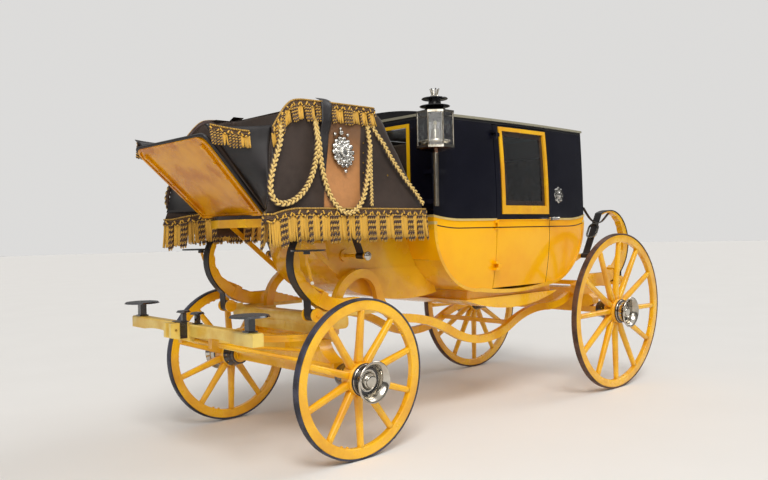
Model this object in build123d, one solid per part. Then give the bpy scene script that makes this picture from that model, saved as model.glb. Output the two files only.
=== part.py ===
from build123d import *
from math import cos, radians, sin, sqrt
import os

# Overall layout, millimetres; X forward from the rear axle, Y left, Z up, ground at zero
WHEELBASE = 2805
TYRE_W = 45
CAMBER = 2.2
FRONT_R = 483
REAR_R = 650
FRONT_TRACK = 748
REAR_TRACK = 806
RUN_GAP = 0.3
AXLE_SQ = 50
ARM_R = 24

# Wheels
TYRE_T = 12
FELLOE_D = 62
FELLOE_W = 42
DISH = 26
NAVE_R = 97
NAVE_IN = 165
NAVE_OUT = 30
CAP_OUT = 128
CAP_R = 121

# Cabin
CAB_BACK = 150
CAB_FRONT = 1985
CAB_MID = (CAB_BACK + CAB_FRONT) / 2
CAB_HALF = 640
CAB_HALF_END = 590
ROOF_Z = 2165
ROOF_CROWN = 62
BELT_Z = 1428
BELT_RISE = 44
SILL_Z = 882
FLOOR_CUT_Z = 1150
WALL = 28
DOOR_BACK = 702
DOOR_FRONT = 1358
DOOR_TOP = 2128
DOOR_IN = 548
DOOR_GAP = 6
HINGE_Y = 646
BEAD = 28
BENCH_H = 330
CUSHION_H = 120

# Window frames: outer limits, border and sash widths
FRAME_X0, FRAME_X1 = 716, 1300
FRAME_Z0, FRAME_Z1 = 1468, 2117
FRAME_SIDE = 30
FRAME_FOOT = 60
FRAME_HEAD = 25
SASH_W = 42

# Running gear
KING_X = WHEELBASE
PERCH_Y = 380
PERCH_W = 42
PERCH_H = 60
SPRING_Y = 490
SPRING_W = 56
LEAF_T = 12.5
LEAF_STEP = 46
BRACE_W = 66
STRAP_T = 8
SEAT_GAP = 0.4
DRUM_R = 26
DISC_R = 42
REAR_SPRING_X = -400
REAR_SPRING_R = 290

# Fore-carriage
BAR_X = KING_X + 705
BAR_W = 70
BAR_HALF = 736
BAR_Z0 = 755
BAR_Z1 = 828
JAW_IN, JAW_OUT = 20, 46
JAW_TIP = BAR_X + 152
JAW_Z0, JAW_Z1 = 757, 842
PLATE_R = 350
PLATE_T = 20
PLATE_RIM = 48
PLATE_Z = 703
TRANSOM_H = 84
PIN_R = 19

# Box seat
BOOT_HALF = 320
BOOT_FRONT = KING_X - 90
FOOT_FRONT = BOOT_FRONT + 490
FOOT_HALF = 350
FOOT_Z = 1405
FOOT_T = 35
TOE_T = 24

MID_X = (JAW_TIP + REAR_SPRING_X - REAR_SPRING_R - STRAP_T - SEAT_GAP) / 2

LOW_END = (Align.CENTER, Align.CENTER, Align.MIN)

os.makedirs("parts", exist_ok=True)
PARTS = {}


def box(x0, x1, y0, y1, z0, z1):
    """A block between three pairs of limits."""
    centre = Pos((x0 + x1) / 2, (y0 + y1) / 2, (z0 + z1) / 2)
    return centre * Box(abs(x1 - x0), abs(y1 - y0), abs(z1 - z0))


def rod(start, end, radius):
    """A round bar between two points."""
    a = Vector(*start)
    line = Vector(*end) - a
    return Plane(origin=a, z_dir=line) * Cylinder(radius, line.length, align=LOW_END)


def bar(start, end, width, depth):
    """A square-section bar between two points, its width across Y."""
    a = Vector(*start)
    line = Vector(*end) - a
    along = line.normalized()
    side = Vector(0, 1, 0)
    plane = Plane(origin=a, x_dir=side - along * side.dot(along), z_dir=line)
    return plane * Box(width, depth, line.length, align=LOW_END)


def bent(points, radius):
    """A round iron through several points, with a ball at each bend."""
    shape = rod(points[0], points[1], radius)
    for a, b in zip(points[1:], points[2:]):
        shape += Pos(*a) * Sphere(radius)
        shape += rod(a, b, radius)
    return shape


def slab(outline, y0, y1):
    """A flat outline in X and Z, given thickness along Y."""
    face = make_face(outline)
    return Pos(0, y1, 0) * extrude(Plane.XZ * face, amount=y1 - y0)


def cross(outline, x0, x1):
    """A flat outline in Y and Z, given thickness along X."""
    face = make_face(outline)
    return Pos(x0, 0, 0) * extrude(Plane.YZ * face, amount=x1 - x0)


def loop(points):
    """A closed line through points."""
    return Polyline(*points, close=True)


def solids_of(*shapes):
    """One node of several solids."""
    found = []
    for shape in shapes:
        found.extend(shape.solids())
    return Compound(found)


def both(shape):
    """A piece and its twin across the middle plane."""
    return solids_of(shape, mirror(shape, Plane.XZ))


def add(name, shape):
    """Names a piece and moves it from the rear axle's frame to the carriage's middle."""
    found = [Pos(-MID_X, 0, 0) * solid for solid in shape.solids()]
    PARTS[name] = found[0] if len(found) == 1 else Compound(found)


# Wheels, each drawn about the Y axis at the origin with +Y outwards


def turned(points):
    """A turned solid from radius and Y pairs."""
    return revolve(make_face(Polyline(*points, close=True)), Axis.Y)


def wheel(radius, spokes):
    """Wooden wheel: chamfered felloe, turned nave and tapering spokes."""
    out = radius - TYRE_T
    rim = out - FELLOE_D
    half = FELLOE_W / 2
    edge = 6
    bore = ARM_R + RUN_GAP
    body = turned([
        (rim + edge, -half), (out, -half), (out, half), (rim + edge, half), (rim, half - edge),
        (rim, edge - half),
    ])
    body += turned([
        (bore, -NAVE_IN), (58, -NAVE_IN), (64, 6 - NAVE_IN), (64, 26 - NAVE_IN), (70, 32 - NAVE_IN),
        (NAVE_R - 7, -70), (NAVE_R, -44), (NAVE_R, NAVE_OUT - 14), (NAVE_R - 5, NAVE_OUT - 8),
        (NAVE_R - 5, NAVE_OUT), (bore, NAVE_OUT),
    ])
    for i in range(spokes):
        root = Plane(origin=(0, -DISH, NAVE_R - 14)) * RectangleRounded(46, 52, 10)
        throat = Plane(origin=(0, -DISH * 0.82, NAVE_R + 50)) * RectangleRounded(36, 44, 12)
        tongue = Plane(origin=(0, 0, rim + 6)) * RectangleRounded(28, 32, 9)
        spoke = loft([root.face(), throat.face(), tongue.face()], ruled=True)
        body += Rot(0, i * 360 / spokes, 0) * spoke
    return body


def nave_cap():
    """Polished nave band that flares to an open bell, with the axle nut inside."""
    r = NAVE_R - 9
    y = NAVE_OUT
    lines = [
        Line((0, y), (r, y)), Line((r, y), (r, y + 4)),
        ThreePointArc((r, y + 4), (r + 5, y + 9), (r, y + 14)), Line((r, y + 14), (r - 2, y + 30)),
        ThreePointArc((r - 2, y + 30), (r + 7, y + 62), (CAP_R, CAP_OUT - 10)),
        ThreePointArc((CAP_R, CAP_OUT - 10), (CAP_R + 4, CAP_OUT - 5), (CAP_R, CAP_OUT)),
        Line((CAP_R, CAP_OUT), (CAP_R - 6, CAP_OUT)),
        ThreePointArc((CAP_R - 6, CAP_OUT), (r + 1, y + 69), (r - 9, y + 38)),
        Polyline((r - 9, y + 38), (60, y + 34), (46, y + 34), (46, y + 56), (38, y + 60)),
        Polyline((38, y + 60), (38, y + 68), (22, y + 72)), Polyline((22, y + 72), (0, y + 72), (0, y)),
    ]
    return revolve(make_face(Curve() + lines), Axis.Y)


def hub_height(radius):
    """Height of a hub that leans by the camber."""
    return radius * cos(radians(CAMBER)) + TYRE_W / 2 * sin(radians(CAMBER))


def place_wheel(shape, x, track, radius, side):
    """Puts a wheel on its arm with camber; side is +1 for left."""
    item = Pos(x, track, hub_height(radius)) * Rot(-CAMBER, 0, 0) * shape
    return mirror(item, Plane.XZ) if side < 0 else item


# Columns: place, X, track, radius, spokes
WHEELS = (("front", KING_X, FRONT_TRACK, FRONT_R, 10), ("rear", 0, REAR_TRACK, REAR_R, 12))
for where, x, track, radius, spokes in WHEELS:
    wood = wheel(radius, spokes)
    half = TYRE_W / 2
    tyre = turned([
        (radius - TYRE_T, -half), (radius - 3, -half), (radius, 3 - half), (radius, half - 3),
        (radius - 3, half), (radius - TYRE_T, half),
    ])
    cap = nave_cap()
    for side, hand in ((1, "left"), (-1, "right")):
        add(f"wheel_{where}_{hand}", place_wheel(wood, x, track, radius, side))
        add(f"tyre_{where}_{hand}", place_wheel(tyre, x, track, radius, side))
        add(f"nave_cap_{where}_{hand}", place_wheel(cap, x, track, radius, side))


def axle(x, track, radius):
    """Square axle tree with round arms that end inside the naves."""
    height = hub_height(radius)
    inner = track - NAVE_IN - 14
    half = AXLE_SQ / 2
    tree = box(x - half, x + half, -inner, inner, height + 1 - half, height + 1 + half)
    arm_rod = Cylinder(ARM_R, NAVE_IN + NAVE_OUT - 2, align=LOW_END)
    arm = Pos(0, -NAVE_IN - 16, 0) * Rot(-90, 0, 0) * arm_rod
    collar = Pos(0, -NAVE_IN - 20, 0) * Rot(-90, 0, 0) * Cylinder(46, 14, align=LOW_END)
    left = Pos(x, track, height) * Rot(-CAMBER, 0, 0) * (arm + collar)
    return tree + left + mirror(left, Plane.XZ)


AXLES = {"rear": axle(0, REAR_TRACK, REAR_R), "front": axle(KING_X, FRONT_TRACK, FRONT_R)}
add("rear_axle", AXLES["rear"])
add("front_axle", AXLES["front"])

# Cabin shell: a lofted hull cut by the side outline, then hollowed and split at the real joints


def section(half_top, half_belt, half_low, grow, x):
    """Cross-section of the hull at one station."""
    top = ROOF_Z + grow
    t, b, w = half_top + grow, half_belt + grow, half_low + grow
    low = SILL_Z - 182
    lines = [
        ThreePointArc((-t, top), (0, top + ROOF_CROWN), (t, top)),
        ThreePointArc((t, top), (b - 6, 1800), (b, BELT_Z)),
        ThreePointArc((b, BELT_Z), (b - 18, 1120), (w, 860)),
        Line((w, 860), (w - 25, low)),
        Line((w - 25, low), (25 - w, low)),
        Line((25 - w, low), (-w, 860)),
        ThreePointArc((-w, 860), (18 - b, 1120), (-b, BELT_Z)),
        ThreePointArc((-b, BELT_Z), (6 - b, 1800), (-t, top)),
    ]
    plane = Plane(origin=(x, 0, 0), x_dir=(0, 1, 0), z_dir=(1, 0, 0))
    return plane * make_face(Curve() + lines)


def side_slab(grow):
    """Side outline of the hull across its whole width."""
    x0, x1 = CAB_BACK - grow, CAB_FRONT + grow
    low = SILL_Z - grow
    outline = [
        Line((x0, 2400), (x0, 1430)),
        ThreePointArc((x0, 1430), (x0 + 130, 1062), (x0 + 480, low + 22)),
        ThreePointArc((x0 + 480, low + 22), (CAB_MID, low - 8), (x1 - 480, low + 22)),
        ThreePointArc((x1 - 480, low + 22), (x1 - 130, 1062), (x1, 1430)),
        Line((x1, 1430), (x1, 2400)),
        Line((x1, 2400), (x0, 2400)),
    ]
    return slab(Curve() + outline, -800, 800)


HULLS = {}


def hull(grow):
    """Hull grown or shrunk by one amount all round."""
    if grow not in HULLS:
        stations = (
            (CAB_BACK - 60, 566, CAB_HALF_END - 6, 530),
            (CAB_MID, 604, CAB_HALF, 572),
            (CAB_FRONT + 60, 566, CAB_HALF_END - 6, 530),
        )
        body = loft([section(t, b, w, grow, x) for x, t, b, w in stations])
        plan = Pos(CAB_MID, 0, 1500) * Box(CAB_FRONT - CAB_BACK + 2 * grow, 1400, 1700)
        plan = fillet(plan.edges().filter_by(Axis.Z), 60 + grow)
        HULLS[grow] = body & plan & side_slab(grow)
    return HULLS[grow]


def skin(out, inn):
    """Layer between two sizes of the hull."""
    return hull(out) - hull(inn)


CABIN_X = (CAB_BACK - 200, CAB_FRONT + 200)
DOOR_Z0 = SILL_Z + 40
ROOF_CUT = DOOR_TOP + DOOR_GAP
CORNER = 64


def door_zone(gap, sign):
    """Space that the door takes in the side, larger by a gap."""
    y0, y1 = sorted((sign * DOOR_IN, sign * 900))
    return box(DOOR_BACK - gap, DOOR_FRONT + gap, y0, y1, DOOR_Z0 - gap, DOOR_TOP + gap)


def doors(gap):
    """Both door spaces."""
    return door_zone(gap, 1) + door_zone(gap, -1)


def belt_strip(z0, z1):
    """Strip that follows the belt line, which climbs towards both ends."""
    x0, x1 = CAB_BACK - 60, CAB_FRONT + 60
    a, b, run = x0 + 320, x1 - 320, 160
    up = BELT_RISE / 4
    lines = [
        Line((a, z0), (b, z0)), ThreePointArc((b, z0), (b + run, z0 + up), (x1, z0 + BELT_RISE)),
        Line((x1, z0 + BELT_RISE), (x1, z1 + BELT_RISE)),
        ThreePointArc((x1, z1 + BELT_RISE), (b + run, z1 + up), (b, z1)),
        Line((b, z1), (a, z1)), ThreePointArc((a, z1), (a - run, z1 + up), (x0, z1 + BELT_RISE)),
        Line((x0, z1 + BELT_RISE), (x0, z0 + BELT_RISE)),
        ThreePointArc((x0, z0 + BELT_RISE), (a - run, z0 + up), (a, z0)),
    ]
    return slab(Curve() + lines, -800, 800)


shell = skin(0, -WALL)
rest = shell - doors(DOOR_GAP)
roof = rest & box(*CABIN_X, -900, 900, ROOF_CUT, 2500)
wall_part = rest & box(*CABIN_X, -900, 900, 500, ROOF_CUT)
bottom = (wall_part - side_slab(-WALL)) & box(*CABIN_X, -900, 900, 500, FLOOR_CUT_Z)
upright = wall_part - bottom
back_wall = upright & box(CABIN_X[0], CAB_BACK + CORNER, -900, 900, FLOOR_CUT_Z, ROOF_CUT)
front_wall = upright & box(CAB_FRONT - CORNER, CABIN_X[1], -900, 900, FLOOR_CUT_Z, ROOF_CUT)
quarter_back = upright & box(CAB_BACK + CORNER, DOOR_BACK, -900, 900, 500, ROOF_CUT)
quarter_front = upright & box(DOOR_FRONT, CAB_FRONT - CORNER, -900, 900, 500, ROOF_CUT)
middle = box(*CABIN_X, -480, 480, 500, 2500)

# Front lights with proud frames, and one small light at the back
LIGHT_Y0, LIGHT_Y1, LIGHT_Z0, LIGHT_Z1 = 35, 346, 1532, 2085
BACK_LIGHT_HALF, BACK_LIGHT_Z0, BACK_LIGHT_Z1 = 190, 1640, 1960
front_light = box(CAB_FRONT - 185, CABIN_X[1], LIGHT_Y0, LIGHT_Y1, LIGHT_Z0, LIGHT_Z1)
front_lights = front_light + mirror(front_light, Plane.XZ)
back_light = box(
    CABIN_X[0], CAB_BACK + 300, -BACK_LIGHT_HALF, BACK_LIGHT_HALF, BACK_LIGHT_Z0, BACK_LIGHT_Z1)
light_frame = box(
    CAB_FRONT, CAB_FRONT + 8, LIGHT_Y0 - 25, LIGHT_Y1 + 25, LIGHT_Z0 - FRAME_FOOT, LIGHT_Z1 + 25)
light_frames = light_frame + mirror(light_frame, Plane.XZ)
add("cabin_bottom", bottom)
add("cabin_roof", roof)
add("cabin_back_wall", back_wall - back_light)
add("cabin_front_wall", front_wall + light_frames - front_lights)


def rectangle(x0, x1, z0, z1):
    """Window-shaped block across the whole width."""
    return box(x0, x1, -900, 900, z0, z1)


# Door hinges: a pin with two knuckles on the post and one on the door, all on one upright axis
HINGE_X = (DOOR_FRONT + DOOR_FRONT + DOOR_GAP) / 2
HINGES = (1090, 1390, 2050)
KNUCKLE_R = 7
HINGE_PIN_R = 4


def knuckle(z0, z1, reach, pin_gap):
    """Barrel on the hinge axis with a leaf that reaches the panel."""
    middle_z = (z0 + z1) / 2
    barrel = Pos(HINGE_X, HINGE_Y, middle_z) * Cylinder(KNUCKLE_R, z1 - z0)
    x0, x1 = sorted((HINGE_X, HINGE_X + reach))
    leaf_plate = box(x0, x1, HINGE_Y - 70, HINGE_Y + 3, z0, z1) - hull(-WALL / 2)
    hole = Pos(HINGE_X, HINGE_Y, middle_z) * Cylinder(HINGE_PIN_R + pin_gap, z1 - z0 + 2)
    return barrel + leaf_plate - hole


post_hinges = []
door_hinges = []
for z in HINGES:
    pin = Pos(HINGE_X, HINGE_Y, z) * Cylinder(HINGE_PIN_R, 68)
    post_hinges.append(knuckle(z + 14, z + 34, 32, 0) + knuckle(z - 34, z - 14, 32, 0) + pin)
    door_hinges.append(knuckle(z - 13.5, z + 13.5, -32, RUN_GAP))
quarter_front -= middle
post_side = quarter_front.solids().sort_by(Axis.Y)[-1]
for item in post_hinges:
    post_side += item
add("cabin_rear_quarters", quarter_back - middle)
add("cabin_front_quarters", both(post_side))

# Doors, hung on their front edge, each with its window opening, frame and pane
OPEN_X0, OPEN_X1 = FRAME_X0 + FRAME_SIDE, FRAME_X1 - FRAME_SIDE
OPEN_Z0, OPEN_Z1 = FRAME_Z0 + FRAME_FOOT, FRAME_Z1 - FRAME_HEAD
window = rectangle(OPEN_X0, OPEN_X1, OPEN_Z0, OPEN_Z1)
glass_zone = rectangle(OPEN_X0 + SASH_W, OPEN_X1 - SASH_W, OPEN_Z0 + SASH_W, OPEN_Z1 - SASH_W)
lip = rectangle(OPEN_X0 + 4, OPEN_X1 - 4, OPEN_Z0 + 4, OPEN_Z1 - 4)
frame = (skin(8, 0) & rectangle(FRAME_X0, FRAME_X1, FRAME_Z0, FRAME_Z1)) - lip
frame += (skin(8, -22) & window) - lip
frame += (skin(-8, -22) & window) - glass_zone
pane = skin(-12, -16) & glass_zone
belt = skin(6, 0) & belt_strip(BELT_Z - 7, BELT_Z + 8)
left_half = box(*CABIN_X, 300, 900, 500, 2500)
HANDLE_X, HANDLE_Y = DOOR_BACK + 36, 668
leaf = (shell & door_zone(0, 1)) - window
leaf += belt & door_zone(0, 1)
for item in door_hinges:
    leaf += item
for z in HINGES:
    for s in (-1, 1):
        leaf -= Pos(HINGE_X, HINGE_Y, z + s * 24) * Cylinder(KNUCKLE_R + 2, 21)
handle = rod((HANDLE_X, 600, BELT_Z), (HANDLE_X, HANDLE_Y + 8, BELT_Z), 9)
handle += rod((HANDLE_X, HANDLE_Y - 12, BELT_Z), (HANDLE_X, HANDLE_Y + 12, BELT_Z), 14)
handle += rod((HANDLE_X, HANDLE_Y, BELT_Z), (HANDLE_X - 92, HANDLE_Y, BELT_Z + 4), 8)
handle += rod((HANDLE_X - 88, HANDLE_Y, BELT_Z + 4), (HANDLE_X - 112, HANDLE_Y, BELT_Z + 5), 12)
handle -= hull(6)
handle = handle.solids().sort_by(SortBy.VOLUME)[-1]
door_pieces = (
    ("door", leaf), ("door_frame", frame & left_half), ("door_glass", pane & left_half),
    ("door_handle", handle),
)
for name, shape in door_pieces:
    add(f"{name}_left", shape)
    add(f"{name}_right", mirror(shape, Plane.XZ))

light = box(CAB_FRONT - 18, CAB_FRONT - 12, LIGHT_Y0, LIGHT_Y1, LIGHT_Z0, LIGHT_Z1)
back_pane = box(
    CAB_BACK + 12, CAB_BACK + 18, -BACK_LIGHT_HALF, BACK_LIGHT_HALF, BACK_LIGHT_Z0, BACK_LIGHT_Z1)
add("cabin_lights", solids_of(light, mirror(light, Plane.XZ), back_pane))

# Mouldings: belt, bead along the lower edge, and cornice under the roof
boot_way = box(CAB_FRONT - 300, CABIN_X[1], -BOOT_HALF - 1, BOOT_HALF + 1, 800, 1500)
body_belt = belt - doors(DOOR_GAP) - boot_way
for item in post_hinges:
    body_belt -= item
    body_belt -= mirror(item, Plane.XZ)
edge_strip = (side_slab(0) - side_slab(-BEAD)) & box(*CABIN_X, -900, 900, 500, BELT_Z - 8)
bead = (skin(5, 0) & edge_strip) - box(*CABIN_X, -500, 500, 500, 2500)
cornice = skin(9, 0) & box(*CABIN_X, -900, 900, ROOF_Z - 12, ROOF_Z + 6)
add("cabin_mouldings", solids_of(body_belt, bead, cornice))

# Sunken well below the floor, set in from the panels above it
WELL_HALF = 556
well_low = slab(Curve() + [
    ThreePointArc((CAB_BACK + 350, 850), (CAB_MID, 757), (CAB_FRONT - 350, 850)),
    Line((CAB_FRONT - 350, 850), (CAB_BACK + 350, 850)),
], -WELL_HALF, WELL_HALF)
well_neck = box(CAB_BACK + 410, CAB_FRONT - 410, 34 - WELL_HALF, WELL_HALF - 34, 840, 920)
add("cabin_well", (well_low + well_neck) - hull(0))

# Seats face each other across the doorway
SEAT_Z = 1330
BENCH_HALF = 540
seats = []
cushions = []
for x0, x1 in ((CAB_BACK + 40, DOOR_BACK - 62), (DOOR_FRONT + 137, CAB_FRONT - 40)):
    bench = box(x0, x1, -BENCH_HALF, BENCH_HALF, SEAT_Z - BENCH_H, SEAT_Z - 30)
    cushion = box(x0, x1, -BENCH_HALF, BENCH_HALF, SEAT_Z - 30, SEAT_Z + CUSHION_H - 30)
    seats.append(bench & hull(-WALL - 1))
    cushions.append(cushion & hull(-WALL - 2))
add("cabin_benches", solids_of(*seats))
add("cabin_cushions", solids_of(*cushions))

# Boot in front of the cabin, with a raised line along each side
BOOT_TOP = 1500
BOOT_LINE_Z = 1105
boot = slab(Curve() + [
    ThreePointArc((CAB_FRONT - 295, 905), (BOOT_FRONT - 565, 890), (BOOT_FRONT - 305, 940)),
    ThreePointArc((BOOT_FRONT - 305, 940), (BOOT_FRONT - 78, 1078), (BOOT_FRONT, 1290)),
    Line((BOOT_FRONT, 1290), (BOOT_FRONT - 25, BOOT_TOP)),
    Line((BOOT_FRONT - 25, BOOT_TOP), (CAB_FRONT - 85, BOOT_TOP)),
    Line((CAB_FRONT - 85, BOOT_TOP), (CAB_FRONT - 295, 905)),
], -BOOT_HALF, BOOT_HALF)
boot_bead = box(
    CAB_FRONT - 100, BOOT_FRONT - 105, -BOOT_HALF - 5, BOOT_HALF + 5, BOOT_LINE_Z - 5, BOOT_LINE_Z + 5)
boot_all = boot + boot_bead
add("front_boot", boot_all - hull(SEAT_GAP) - light_frames)

# Bow-fronted foot board on two flat stays, and the sloping toe board above it
BACK_IN = BOOT_FRONT - 15
BOW = 57


def bow(inset, x_back):
    """Plan of the foot board, its front edge bowed and set in by an amount."""
    corner = FOOT_FRONT - 55 - inset
    lines = [
        Line((x_back, FOOT_HALF), (corner, FOOT_HALF)),
        ThreePointArc((corner, FOOT_HALF), (FOOT_FRONT + BOW - inset, 0), (corner, -FOOT_HALF)),
        Line((corner, -FOOT_HALF), (x_back, -FOOT_HALF)),
        Line((x_back, -FOOT_HALF), (x_back, FOOT_HALF)),
    ]
    return make_face(Curve() + lines)


foot = Pos(0, 0, FOOT_Z) * extrude(bow(0, BACK_IN), amount=FOOT_T)
rim_face = bow(-3, FOOT_FRONT - 200) - bow(12, FOOT_FRONT - 200)
foot += Pos(0, 0, FOOT_Z - 6) * extrude(rim_face, amount=FOOT_T + 40)
for y in (FOOT_HALF - 22, 22 - FOOT_HALF):
    foot += bar((BOOT_FRONT - 95, y, 1090), (FOOT_FRONT - 190, y, FOOT_Z + 8), 14, 32)
add("foot_board", foot - boot_all)

TOE_DIR = Vector(435, 0, 430).normalized()
TOE_NORMAL = Vector(TOE_DIR.Z, 0, -TOE_DIR.X)
TOE_LEN = 612
TOE_LOW, TOE_HIGH = 352, 428
TOE_Z = FOOT_Z - 6 + FOOT_T + 40
TOE = Plane(origin=(FOOT_FRONT, 0, TOE_Z), x_dir=(0, 1, 0), z_dir=TOE_NORMAL)


def toe_outline(inset):
    """Face of the toe board, wider at its rounded top."""
    points = [
        (-TOE_LOW + inset, 1 + inset), (TOE_LOW - inset, 1 + inset), (TOE_HIGH - inset, TOE_LEN - inset),
        (inset - TOE_HIGH, TOE_LEN - inset),
    ]
    face = make_face(loop(points))
    corners = face.vertices().sort_by(Axis.Y)[-2:]
    return fillet(corners, 70 - inset)


toe = extrude(TOE * toe_outline(0), amount=-TOE_T)
toe += extrude(TOE * (toe_outline(0) - toe_outline(18)), amount=9)
for s in (-1, 1):
    rib = make_face(loop([(s * 282, 40), (s * 306, 40), (s * 366, TOE_LEN - 50), (s * 342, TOE_LEN - 50)]))
    toe += extrude(TOE * rib, amount=13)
low_back = Vector(FOOT_FRONT, 0, TOE_Z) - TOE_NORMAL * TOE_T + TOE_DIR
high_back = low_back + TOE_DIR * 120
for y in (-250, 250):
    toe += slab(loop([
        (low_back.X - 80, FOOT_Z + FOOT_T), (low_back.X, FOOT_Z + FOOT_T), (low_back.X, low_back.Z),
        (high_back.X, high_back.Z), (high_back.X - 24, high_back.Z),
    ]), y - 8, y + 8)
add("toe_board", toe)
SHEET_IN, SHEET_OUT = 384, 397
sheet = slab(loop([
    (FOOT_FRONT - 75, 1520), (FOOT_FRONT - 17, 1495), (FOOT_FRONT + 417, 1924), (FOOT_FRONT + 450, 1992),
    (FOOT_FRONT + 175, 1965), (FOOT_FRONT - 75, 2000),
]), SHEET_IN, SHEET_OUT)
add("side_sheets", both(sheet - toe))

# Hammercloth over the driver's seat, with its hanging skirt
CLOTH_LOW, CLOTH_TOP, CLOTH_HEM = 1300, 2150, 22


def cloth(shrink, z0, z1):
    """Tapering block of the hammercloth between two heights."""
    faces = []
    for z in (z0, z1):
        f = (z - CLOTH_LOW) / (CLOTH_TOP - CLOTH_LOW)
        x0 = CAB_FRONT + 65 + 310 * f + shrink
        x1 = FOOT_FRONT + 155 - 230 * f - shrink
        half = 640 - 130 * f - shrink
        plane = Plane(origin=((x0 + x1) / 2, 0, z))
        faces.append((plane * RectangleRounded(x1 - x0, 2 * half, 40)).face())
    return loft(faces)


block = cloth(0, BOOT_TOP + 1, CLOTH_TOP)
skirt = cloth(0, CLOTH_LOW, BOOT_TOP + 1) - cloth(CLOTH_HEM, CLOTH_LOW - 1, BOOT_TOP + 2)
footwell = box(FOOT_FRONT - 315, FOOT_FRONT + 600, -SHEET_OUT, SHEET_OUT, 1250, 2400)
boot_gap = box(CAB_FRONT - 85, CAB_FRONT + 415, -BOOT_HALF - 6, BOOT_HALF + 6, 1290, BOOT_TOP)
add("hammercloth", (block + skirt) - footwell - boot_gap)

# Lamps on posts at the front corners
LAMP_X, LAMP_Y = CAB_FRONT + 71, 688
LAMP_R = 134
LAMP_Z0, LAMP_Z1 = 1902, 2145
RIM_H = 15


def octagon(radius, z0, z1):
    """Eight-sided block of the lamp between two heights."""
    face = RegularPolygon(radius, 8, rotation=22.5)
    return Pos(LAMP_X, LAMP_Y, z0) * extrude(face, amount=z1 - z0)


def lamp_turned(points):
    """Turned piece about the lamp's upright axis, from radius and height pairs."""
    outline = make_face(Plane.XZ * Polyline(*points, close=True))
    return Pos(LAMP_X, LAMP_Y, 0) * revolve(outline, Axis.Z)


case = octagon(LAMP_R, LAMP_Z0, LAMP_Z0 + RIM_H) + octagon(LAMP_R, LAMP_Z1 - RIM_H, LAMP_Z1)
for i in range(8):
    angle = radians(22.5 + 45 * i)
    px = LAMP_X + (LAMP_R - 7) * cos(angle)
    py = LAMP_Y + (LAMP_R - 7) * sin(angle)
    case += rod((px, py, LAMP_Z0 + 5), (px, py, LAMP_Z1 - 5), 5)
case += lamp_turned([
    (0, LAMP_Z1 - 1), (112, LAMP_Z1 - 1), (108, 2150), (76, 2157), (58, 2174), (98, 2179), (102, 2182),
    (98, 2186), (44, 2192), (40, 2222), (84, 2228), (88, 2232), (84, 2237), (34, 2243), (26, 2256),
    (0, 2260),
])
case += lamp_turned([(0, LAMP_Z0 + 10), (26, LAMP_Z0 + 10), (26, 2030), (14, 2036), (12, 2062), (0, 2070)])
for i in range(6):
    angle = radians(60 * i)
    foot_point = (LAMP_X + 15 * cos(angle), LAMP_Y + 15 * sin(angle), 2250)
    case += rod(foot_point, (LAMP_X + 30 * cos(angle), LAMP_Y + 30 * sin(angle), 2300), 4)
post = lamp_turned([
    (0, 1520), (17, 1520), (17, 1874), (24, 1879), (46, 1884), (96, 1895), (112, LAMP_Z0), (0, LAMP_Z0),
])
for z in (1540, 1740):
    post += box(CAB_FRONT - 55, LAMP_X, 560, LAMP_Y - 22, z, z + 28)
    post += box(LAMP_X - 30, LAMP_X + 12, 580, LAMP_Y, z, z + 28)
post -= hull(SEAT_GAP)
post = post.solids().sort_by(SortBy.VOLUME)[-1]
panes = octagon(LAMP_R - 8, LAMP_Z0 + RIM_H, LAMP_Z1 - RIM_H)
panes -= octagon(LAMP_R - 11, LAMP_Z0 + RIM_H, LAMP_Z1 - RIM_H)
for i in range(8):
    angle = radians(22.5 + 45 * i)
    panes -= rod(
        (LAMP_X + (LAMP_R - 7) * cos(angle), LAMP_Y + (LAMP_R - 7) * sin(angle), LAMP_Z0),
        (LAMP_X + (LAMP_R - 7) * cos(angle), LAMP_Y + (LAMP_R - 7) * sin(angle), LAMP_Z1), 5)
add("lamp_cases", both(case))
add("lamp_posts", both(post))
add("lamp_glass", both(panes))

# Perches, two crane necks that rise over the front wheels


def chain(points, start):
    """Tangent arcs through points, from a starting direction."""
    edges = []
    tangent = start
    for a, b in zip(points, points[1:]):
        edge = TangentArc(a, b, tangent=tangent)
        edges.append(edge)
        tangent = edge % 1
        tangent = (tangent.X, tangent.Y)
    return edges


neck_points = [
    (KING_X - 115, 850), (KING_X - 295, 1082), (KING_X - 475, 960), (KING_X - 705, 755),
    (1600, 610), (900, 600), (420, 700), (20, 815),
]
neck = chain(neck_points, (0.05, 1))
neck.append(Line((20, 815), (-90, 815)))
neck_face = trace(Curve() + neck, PERCH_H)
neck_solid = Pos(0, PERCH_Y + PERCH_W / 2, 0) * extrude(Plane.XZ * neck_face, amount=PERCH_W)
tie = box(870, 910, PERCH_W / 2 - PERCH_Y, PERCH_Y - PERCH_W / 2, 590, 622)
necks = neck_solid + tie + mirror(neck_solid, Plane.XZ)

# C-springs: leaves of one thickness on shared arcs; the tables give where each leaf begins, in degrees
# Columns: place, centre X and Z, radius, turn into the flat arc, its radius, tip arc, tip, tail, way,
# leaf starts
SPRINGS = (
    ("front", KING_X + 60, 1180, 250, -35, 420, 420, 125, 410, 1, (125, 62, 34, 12, -12, -36, -58)),
    ("rear", REAR_SPRING_X, 1210, REAR_SPRING_R, -28, 400, 420, 111, 480, -1,
     (111, 84, 66, 50, 36, 14, -20)),
)


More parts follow.
